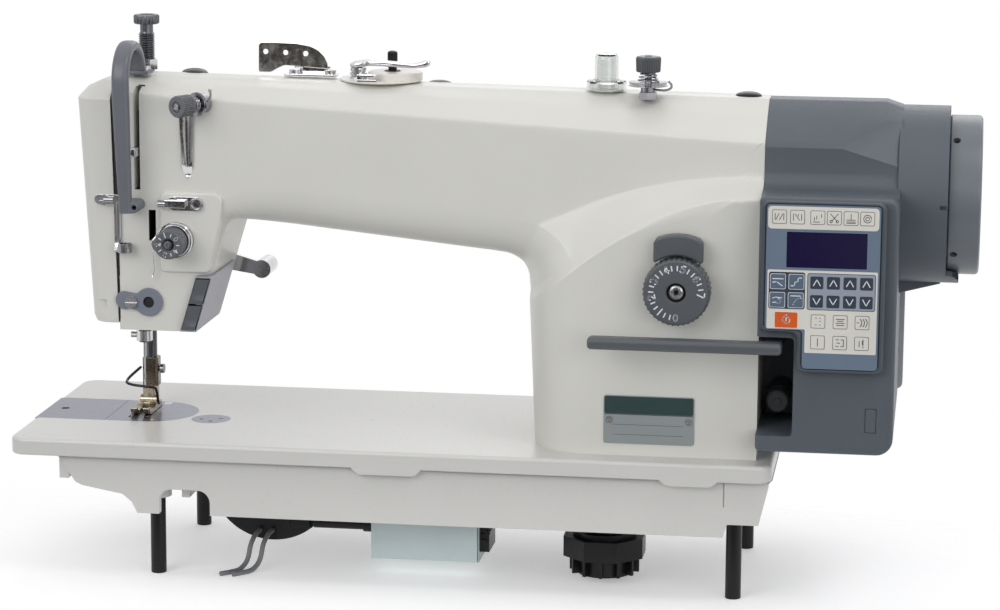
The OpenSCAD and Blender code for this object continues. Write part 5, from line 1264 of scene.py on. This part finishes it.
def build_left_hook():
    hook = Piece("left_thread_hook_strip")
    hook.extrude(rounded_outline(45.9, 62.7, 141.8, 148.2, 3), 44.5, 45.8, "y", 0.25)
    rows = []
    for z, y in ((143, 44.6), (138, 44.5), (130, 44.3), (122, 44), (118, 43.8), (115.4, 43.1), (113.6, 41.6),
                 (112.8, 39.8)):
        rows.append([(lerp(58.8, 62.7, k / 6), y - 0.35 * sin(pi * k / 6), z) for k in range(7)])
    hook.strip(rows)
    band = circle_points(66.4, 39.6, 4.6, 30, -160, 325) + circle_points(66.4, 39.6, 3.7, 30, 165, -325)
    hook.finish_index = 1
    hook.extrude(band, 112.6, 118.2, "z", 0.2)
    hook.tube([(52.4, 44, 145), (58.4, 44, 145)], 2.1, 24)
    hook.stand_for("left_thread_hook", CHROME, DARK_CHROME)


def build_thread_guide():
    guide = Piece("thread_guide_plate")
    guide.extrude(rounded_outline(93, 116.5, 139.6, 148.4, 4.3, 8), 42.1, 43.4, "y", 0.3)
    guide.extrude(rounded_outline(92, 106, 141.6, 146.6, 1, 4), 38, 42.3, "y", 0.5)
    guide.finish_index = 1
    guide.tube([(88.2, 39.8, 144), (93, 39.8, 144)], 2.2, 24)
    guide.tube([(112.2 + 3.4 * cos(a), 41.4, 144 + 3.4 * sin(a)) for a in around(32) + [2 * pi]], 0.9, 12)
    guide.stand_for("thread_guide", CHROME, DARK_CHROME)


EYELET = (80, 80.4)  # x and z of the hole in the eight-shaped plate


def build_eyelet():
    plate = Piece("eyelet_plate_eight")
    left = circle_points(64.4, 81.2, 5.8, 20, 64, 232)
    right = circle_points(*EYELET, 9, 26, -145, 290)
    plate.extrude(left + right, 43.7, 45.8, "y", 0.5, 3)
    made = plate.stand_for("eyelet_plate", EIGHT_GREY)
    drill(made, (*EYELET, 3.6, 40, 50))
    # A dark disc inside the hole: painted shade on the hole's floor.
    floor = Piece("eyelet_plate_hole_painted_shade")
    floor.disc(*EYELET, 3.7, 45.3, 45.7)
    floor.go_with("eyelet_plate", DEEP_SHADE)


# ---------------------------------------------------------------- fittings on top of the arm
def build_bracket():
    blade = Piece("hole_bracket_blade")
    outline = [(139.6, 221.2), (139.8, 238.6), (141, 240.2), (150, 240.4), (164, 240), (172, 238.8),
               (178, 236.2), (182.4, 232), (184.4, 227.6), (184.8, 224), (162, 225.4), (156.5, 225.9),
               (151.6, 223.6), (147.6, 221.2)]
    blade.extrude(softened(outline, 1.4, 4), 99.2, 100.7, "y", 0.35)
    made = blade.stand_for("hole_bracket", BLADE_CHROME)
    drill(made, *[(x, 234.4 - (x - 144) * 0.03, 1.7, 90, 110, "y", 24) for x in (144.4, 157.3, 170.3)])
    foot = Piece("hole_bracket_foot")
    foot.extrude(softened([(158, 89.6), (190.8, 89.6), (191.6, 92), (191.6, 100.9), (163, 100.9), (158, 97)],
                          2, 4), 219.7, 221.4, "z", 0.3)
    foot.extrude(softened([(163, 99.4), (186, 99.4), (186, 100.7), (163, 100.7)], 0.3, 2), 220, 225.5, "z")
    foot.go_with("hole_bracket", CHROME)


SPINDLE_X, SPINDLE_Y = 227, 95
LEVER_X, LEVER_Y = 206, 90  # the column that the winder's lever swings on


def build_winder():
    base = Piece("winder_base_disc")
    base.revolve([(0.4, 218.42), (25.4, 218.42), (26, 218.9), (26, 219.4), (25.5, 219.8), (0.4, 219.8)],
                 (220, 94, 0), "z", 96)
    base.revolve([(0.4, 219.6), (17.2, 219.6), (17.2, 223.4), (16.9, 224), (16.2, 224.3), (0.4, 224.3)],
                 (229, 94, 0), "z", 96)
    made = base.stand_for("winder_base", DRUM_CREAM)
    join_shells(made)
    drill(made, *[(SPINDLE_X, SPINDLE_Y, r, low, 240, "z", 40) for r, low in ((5.5, 219.9), (3.2, 210))])
    column = Piece("winder_column")
    column.revolve([(0.4, 219.4), (5.4, 219.4), (5.4, 220.8), (4.6, 221.2), (4.6, 221.8), (5.4, 222.2),
                    (5.4, 223.4), (4.6, 223.8), (4.6, 224.4), (5.1, 224.7), (5.1, 226.6), (2.2, 226.7),
                    (2.2, 230), (1.6, 230.4), (0.4, 230.4)], (LEVER_X, LEVER_Y, 0), "z", 40)
    column.box(209, 221, 69.2, 74.8, 219.9, 221.2, 0.3)
    column.box(209, 212, 69.2, 74.8, 221, 224.3, 0.4)
    column.extrude(rounded_outline(208.6, 221.4, 69, 75, 2.6, 5), 222.8, 224.4, "z", 0.4)
    column.go_with("winder_base", CHROME)

    spindle = Piece("winder_spindle_slotted")
    profile = [(0.4, 218.8), (2.7, 218.8), (2.7, 223.4), (4.8, 223.5), (5, 224), (4.8, 224.8), (2.7, 225)]
    profile += [(2.7, 226.4), (3.2, 226.8), (3.2, 235.4), (2.9, 236.4), (1.6, 237), (0.4, 237)]
    spindle.revolve(profile, (SPINDLE_X, SPINDLE_Y, 0), "z", 72,
                    lambda a, r, h: r - (0.5 * max(0, cos(3 * a)) ** 6 if h > 226.5 and r > 3 else 0))
    spindle.stand_for("winder_spindle", BLACK)

    lever = Piece("winder_lever_arm")
    rings = []
    for x, y, z, half, tall in ((200.8, 90, 228.2, 1.5, 0.8), (202, 90, 228.3, 4, 1.6),
                                (205, 89.8, 228.4, 5.2, 2.3), (209, 89, 229.2, 4.6, 2.3),
                                (213, 88, 229.9, 2.6, 2.1), (218, 87, 230, 2, 2), (228, 85.2, 229.8, 1.9, 2),
                                (238, 83.6, 229.3, 1.9, 1.8), (243, 82.8, 229.2, 1.9, 1.7),
                                (247, 82.3, 229.8, 2, 1.8), (250, 82, 230.6, 2.2, 2.3),
                                (252.6, 81.8, 231.3, 1.6, 1.8), (253.4, 81.8, 231.4, 0.5, 0.7)):
        rings.append([(x, y + half * bulge(cos(a), 0.7), z + tall * bulge(sin(a), 0.8)) for a in around(24)])
    fine = []
    for i in range(len(rings) - 1):
        near = [rings[min(max(i + k, 0), len(rings) - 1)] for k in (-1, 0, 1, 2)]
        for step in range(4):
            fine.append([tuple(cubic(*values, step / 4) for values in zip(*points)) for points in zip(*near)])
    lever.rings(fine + [rings[-1]])
    made = lever.stand_for("winder_lever", CHROME)
    drill(made, (LEVER_X, LEVER_Y, 2.5, 200, 240, "z", 32))


def build_oil_sight():
    sight = Piece("oil_sight_cap")
    centre = (364, 84, 216.4)
    sight.revolve([(12.2, 0.1), (12.4, 0.6), (12.4, 5.2), (11.8, 6), (8.8, 6.2), (7.6, 6.8), (7.35, 8),
                   (7.3, 19), (6.9, 21.4), (6, 22.6), (4.4, 23), (0.3, 23.05), (0.3, 21.9), (4, 21.8),
                   (5.4, 21.3), (6, 20), (6.1, 7.4), (6.6, 5.2), (8, 4.9), (10.8, 4.7), (11.1, 0.1)], centre,
                  "z", 72)
    sight.stand_for("oil_sight", GLASS)
    seat = Piece("oil_sight_seat")
    seat.revolve([(0.3, 0.05), (10.9, 0.05), (10.9, 1), (7, 1.3), (5.2, 1.6), (5.2, 4.4), (4.4, 4.8),
                  (0.3, 4.8)], centre, "z", 48)
    seat.go_with("oil_sight", CLEAR)


def build_top_post():
    x, y, z = 391.5, 68, 213.5
    post = Piece("top_post_stud")

    def hexagon(a, r, h):
        return r * 0.866 / cos((a + pi / 6) % (pi / 3) - pi / 6) if r > 5.5 else r

    post.revolve([(0.3, 0), (6, 0), (6, 4), (5.6, 4.5), (3, 4.5), (4.5, 4.6), (4.5, 7.2), (2.2, 7.4),
                  (2.2, 26.6), (1.7, 27.1), (0.3, 27.1)], (x, y, z), "z", 48, hexagon)
    for h, r in ((7.4, 12.2), (8.5, 11.6), (9.6, 12.2)):
        post.revolve([(2.2, h), (7, h + 0.1), (r - 0.5, h + 0.6), (r, h + 0.75), (r - 0.1, h + 1), (7, h + 0.5),
                      (2.2, h + 0.4)], (x, y, z), "z", 72)
    post.coil((x, y, z + 10.6), "z", 6.4, 6.2, 3.2, 0.62, 2.2, 24)
    post.tube(smoothed([(x + 4, y - 1, z + 6), (x + 11, y - 5.5, z + 5.8), (x + 15, y - 8, z + 7.6),
                        (x + 15.4, y - 9, z + 10), (x + 13.6, y - 10, z + 12)], 3), 0.7, 10)
    post.stand_for("top_post", DARK_CHROME)
    knob = Piece("top_knob_ribbed")
    knob.revolve([(2.5, 16.6), (6.9, 16.6), (7.5, 17.1), (7.8, 24.9), (7.3, 25.9), (6.4, 26.2), (2.5, 26.2)],
                 (x, y, z), "z", 288, lambda a, r, h: r - (0.7 * abs(sin(18 * a)) if r > 6.8 else 0))
    knob.stand_for("top_knob", KNOB_GREY)


# ---------------------------------------------------------------- presser foot
def build_foot():
    foot = Piece("presser_foot_hinged")
    foot.extrude(rounded_outline(60.1, 70.5, 99.7, 110.3, 2.2, 4), 14, 33, "z", 0.6)
    foot.finish_index = 1
    foot.box(61.4, 69.2, 96, 108.8, 5, 15, 0.8)
    foot.revolve([(0.4, 59.6), (3.1, 59.6), (3.5, 60), (3.5, 70.6), (3.1, 71), (0.4, 71)], (0, 98.4, 5.6),
                 "x", 36)
    for x0, x1 in ((58.9, 63.5), (67.1, 71.7)):
        side = [(73.2, 4.9), (74, 3.4), (76.2, 0.8), (78, 0.15), (104.8, 0.15), (106, 1.2), (105.4, 4.6),
                (95, 5.4), (91, 4.6), (87, 2.6), (78.4, 2.4), (76.4, 3.4), (74.6, 5.3)]
        foot.extrude(softened(side, 0.6, 3), x0, x1, "x", 0.3)
    foot.box(59.2, 71.4, 91.6, 105, 0.2, 4.8, 0.5)
    foot.finish_index = 2
    foot.revolve([(0.4, 70.4), (1.7, 70.4), (1.7, 71.4), (3, 71.4), (3, 73.6), (2.6, 73.9), (0.4, 73.9)],
                 (0, 105, 25), "x", 32)
    # The shank takes the darker copy of the foot steel (painted shade), the hinge and toes the lighter copy
    # (painted highlight).
    made = foot.stand_for("presser_foot", SHADED_FOOT_STEEL, LIT_FOOT_STEEL, DARK_CHROME)
    join_shells(made)
    cut(made, lambda t: t.box(73.1, 75, 104.6, 105.4, 20, 30, 0),
        lambda t: t.box(63.7, 66.9, 60, 91.4, -1, 20, 0))


# ---------------------------------------------------------------- under the bed
def build_solenoids():
    box = Piece("trimmer_box")
    box.box(222.3, 290.7, 46.2, 79.8, -79.6, -46.2, 0.7)
    box.box(222, 291, 45, 46.6, -80, -46, 0.5)
    box.box(289.6, 291, 45, 79.8, -80, -46, 0.4)
    box.finish_index = 1
    box.box(288, 297, 49, 76, -74, -62, 0.6)
    box.extrude([(290.6, -72), (298.6, -56), (298.6, -48), (290.6, -48)], 50, 75, "y", 0.5)
    box.box(288.5, 299, 48, 76, -48, -12, 0.4)
    for x in (293.6, 296.4):
        box.tube([(x, 47.6, -68 + (x - 293) * 2), (x, 49.6, -68 + (x - 293) * 2)], 1.4, 16)
    box.stand_for("solenoids", ZINC_BOX, BLACK_STEEL)
    arch = Piece("trimmer_arch")
    outer = circle_points(155, -34, 41, 40, -18.5, -139)
    inner = circle_points(155, -34, 24, 24, -147.2, 114.4)
    arch.extrude(outer + [(117, -47), (134.8, -47)] + inner + [(175.2, -47)], 60, 66, "y", 0.6)
    arch.box(150.4, 159.6, 60.6, 65.4, -60, -12, 0.4)
    arch.revolve([(0.4, 182), (4, 182), (4, 214), (5.2, 214.4), (5.2, 222.6), (0.4, 222.6)], (0, 62, -62),
                 "x", 32)
    arch.tube(smoothed([(124, 58, -51), (128, 55.6, -56), (135, 55, -57.5), (142, 56, -55), (150, 59.8, -58)],
                       2), 2.2, 14)
    arch.box(122.6, 133, 55.6, 61, -58, -49, 1)
    arch.box(168, 180, 56.6, 61, -66, -54, 0.8)
    arch.go_with("solenoids", BLACK_STEEL)
    # The solenoid in the bay takes a dark grey of painted shade.
    inside = Piece("reverse_solenoid")
    x = 477.0
    inside.revolve([(0.4, 30.2), (2.2, 30.2), (2.4, 31), (5.8, 31), (6.8, 31.8), (7, 33), (7, 44), (6.2, 44.6),
                    (6.2, 46), (7, 46.6), (7, 76), (0.4, 76)], (x, 0, 34), "y", 56)
    inside.box(468.2, 485.8, 60, 76, 20.4, 36, 0.8)
    inside.go_with("solenoids", SHADOW_GREY)


def build_bed():
    """The bed casting's own shape with the plate's outer corners well rounded, top and bottom."""
    bm = own_shape("bed_casting")
    low, high = [list(v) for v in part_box("bed_casting")]

    def rim(edge, level):
        for vert in edge.verts:
            if abs(vert.co.z - high[2] - level * MM) > 5e-5:
                return False
            from_end = min(vert.co.x - low[0], high[0] - vert.co.x) / MM
            from_side = min(vert.co.y - low[1], high[1] - vert.co.y) / MM
            corner = from_end < 13 and from_side < 13
            if min(from_end, from_side) > 0.05 and not corner:
                return False
        return edge.calc_length() > 1e-5 and len(edge.link_faces) == 2 and edge.calc_face_angle(0) > 0.6

    for level, width in ((0, 2.4), (-11, 1.6)):
        round_off(bm, [e for e in bm.edges if rim(e, level)], width * MM, 5, False)
    below = high[2] - 11.5 * MM
    round_off(bm, [e for e in sharp_edges(bm, 32) if max(v.co.z for v in e.verts) < below], 0.9 * MM, 2)
    finish_mesh(bm, "bed_casting_finished", [BED_WHITE], "bed_casting", True, 22)


def build_lips():
    """The two places where the bed plate's front edge is thicker, flush with it and eased into it."""
    lips = Piece("bed_front_steps")
    for x0, x1, low in ((221, 258, -15), (411.5, 440, -14.4)):
        outline = [(x0 - 4.5, -6), (x0 - 4, -10.6), (x0 + 1, low), (x1 - 1, low), (x1 + 4, -10.6),
                   (x1 + 4.5, -6)]
        lips.extrude(softened(outline, 2.2), -0.03, 5.2, "y", 1.1, 4)
    lips.go_with("bed_casting", BED_WHITE)


# ---------------------------------------------------------------- every piece
for build in (build_arm, build_pad, build_housing, build_handwheel, build_panel_frame, build_panel, build_dial,
              build_dial_lock, build_lever, build_nameplate, build_guard, build_pressure_screw, build_tension,
              build_pretension, build_left_hook, build_thread_guide, build_eyelet, build_bracket, build_winder,
              build_oil_sight, build_top_post, build_foot, build_solenoids, build_bed, build_lips):
    build()
for node in frame["nodes"]:
    if node not in replaced:
        dressed(node, *DRESSED.get(node, PLATED))


# ---------------------------------------------------------------- floor and light
def mix_to(tree, output, factor, first, second):
    """Leads two shaders, mixed by a factor, to the tree's output."""
    plug(tree, tree.nodes[output], {"Surface": add(tree, "MixShader", {0: factor, 1: first, 2: second})})


def stage_sheet(name, corners, surface):
    """One flat face of the studio; gives the object and its material's nodes."""
    mesh = bpy.data.meshes.new(name)
    mesh.from_pydata(corners, [], [(0, 1, 2, 3)])
    material = bpy.data.materials.new(surface)
    material.use_nodes = True
    mesh.materials.append(material)
    return added(name, mesh), material.node_tree


def make_world():
    """Soft daylight from above; white where the camera, a mirror or glass looks past the machine."""
    world = bpy.data.worlds.new("studio")
    bpy.context.scene.world = world
    world.use_nodes = True
    tree = world.node_tree
    way = add(tree, "SeparateXYZ", {0: coordinates(tree, "Generated")}).node.outputs["Z"]
    height = add(tree, "MapRange", {"From Min": -0.4, "Value": way})
    sky = ramp(tree, height, (0, (0.32, 0.33, 0.35, 1)), (0.42, (0.5, 0.5, 0.52, 1)),
               (1, (0.74, 0.74, 0.76, 1)))
    back = tree.nodes["Background"]
    plug(tree, back, {"Strength": 0.8, "Color": sky})
    ray = tree.nodes.new("ShaderNodeLightPath").outputs
    seen = add(tree, "Math", {0: ray["Is Camera Ray"], 1: ray["Is Transmission Ray"]}, operation="MAXIMUM")
    mirrored = add(tree, "Math", {0: seen, 1: ray["Is Glossy Ray"]}, operation="MAXIMUM")
    white = add(tree, "Background", {"Color": (1, 1, 1, 1)})
    mix_to(tree, "World Output", mirrored, back.outputs[0], white)


def make_floor():
    """A pale floor that fades out in an oval about the machine."""
    reach = 6.0
    floor, tree = stage_sheet("floor", [(x, y, 0) for x, y in square(-reach, reach, -reach, reach)],
                              "floor_pale")
    floor.location.z = cad_box[0].z
    pale = tree.nodes["Principled BSDF"]
    plug(tree, pale, {"Base Color": (0.86, 0.86, 0.86, 1), "Roughness": 0.6, "Specular IOR Level": 0.1,
                      "Emission Color": (1, 1, 1, 1), "Emission Strength": 0.33})
    oval = add(tree, "VectorMath", {0: coordinates(tree, "Object"), 1: (0.62, 1.9, 1)}, operation="MULTIPLY")
    away = add(tree, "VectorMath", {0: oval}, operation="LENGTH").node.outputs["Value"]
    fade = add(tree, "MapRange", {"From Min": 0.16, "From Max": 0.42, "Value": away},
               interpolation_type="SMOOTHSTEP")
    mix_to(tree, "Material Output", fade, pale.outputs[0], add(tree, "BsdfTransparent", {}))


def make_card(name, y, z0, z1, half):
    """A studio card in front of the machine that only reflections see: bright metal needs something dark."""
    card, tree = stage_sheet(name, [(x, y, z) for x, z in square(-half, half, z0, z1)], name + "_cloth")
    for kind in ("camera", "diffuse", "transmission", "volume_scatter", "shadow"):
        setattr(card, "visible_" + kind, False)
    tree.nodes.remove(tree.nodes["Principled BSDF"])
    folds = add(tree, "TexNoise", {"Scale": 1.6, "Detail": 1.0, "Vector": coordinates(tree, "Object")})
    tone = ramp(tree, folds, (0.44, (0.05, 0.045, 0.042, 1)), (0.66, (0.62, 0.62, 0.62, 1)))
    plug(tree, tree.nodes["Material Output"], {"Surface": add(tree, "Emission", {"Color": tone})})


def make_lamp(name, place, aim, size, power):
    data = bpy.data.lights.new(name, "AREA")
    data.shape = "RECTANGLE"
    data.size, data.size_y = size
    data.energy = power
    light = added(name, data)
    light.location = place
    light.rotation_euler = (Vector(aim) - Vector(place)).to_track_quat("-Z", "Y").to_euler()


bpy.context.scene.view_settings.view_transform = "Standard"
make_world()
make_floor()
make_card("front_card", -2.7, -1.3, 0.8, 3.4)
make_lamp("key", (-0.9, -1.6, 1.0), (0, 0, 0.15), (1.3, 1.1), 12)
make_lamp("fill", (1.1, -1.6, 0.55), (0, 0, 0.15), (1.3, 0.9), 6.5)
make_lamp("overhead", (0.78, -0.5, 1.52), (0.2, 0, 0.15), (0.6, 0.5), 4)
make_lamp("top", (-0.2, 0.3, 1.6), (0, 0, 0.1), (1.4, 0.8), 1.4)
make_lamp("back", (0.2, 1.6, 1.2), (0, 0, 0.15), (1.4, 1.0), 5)
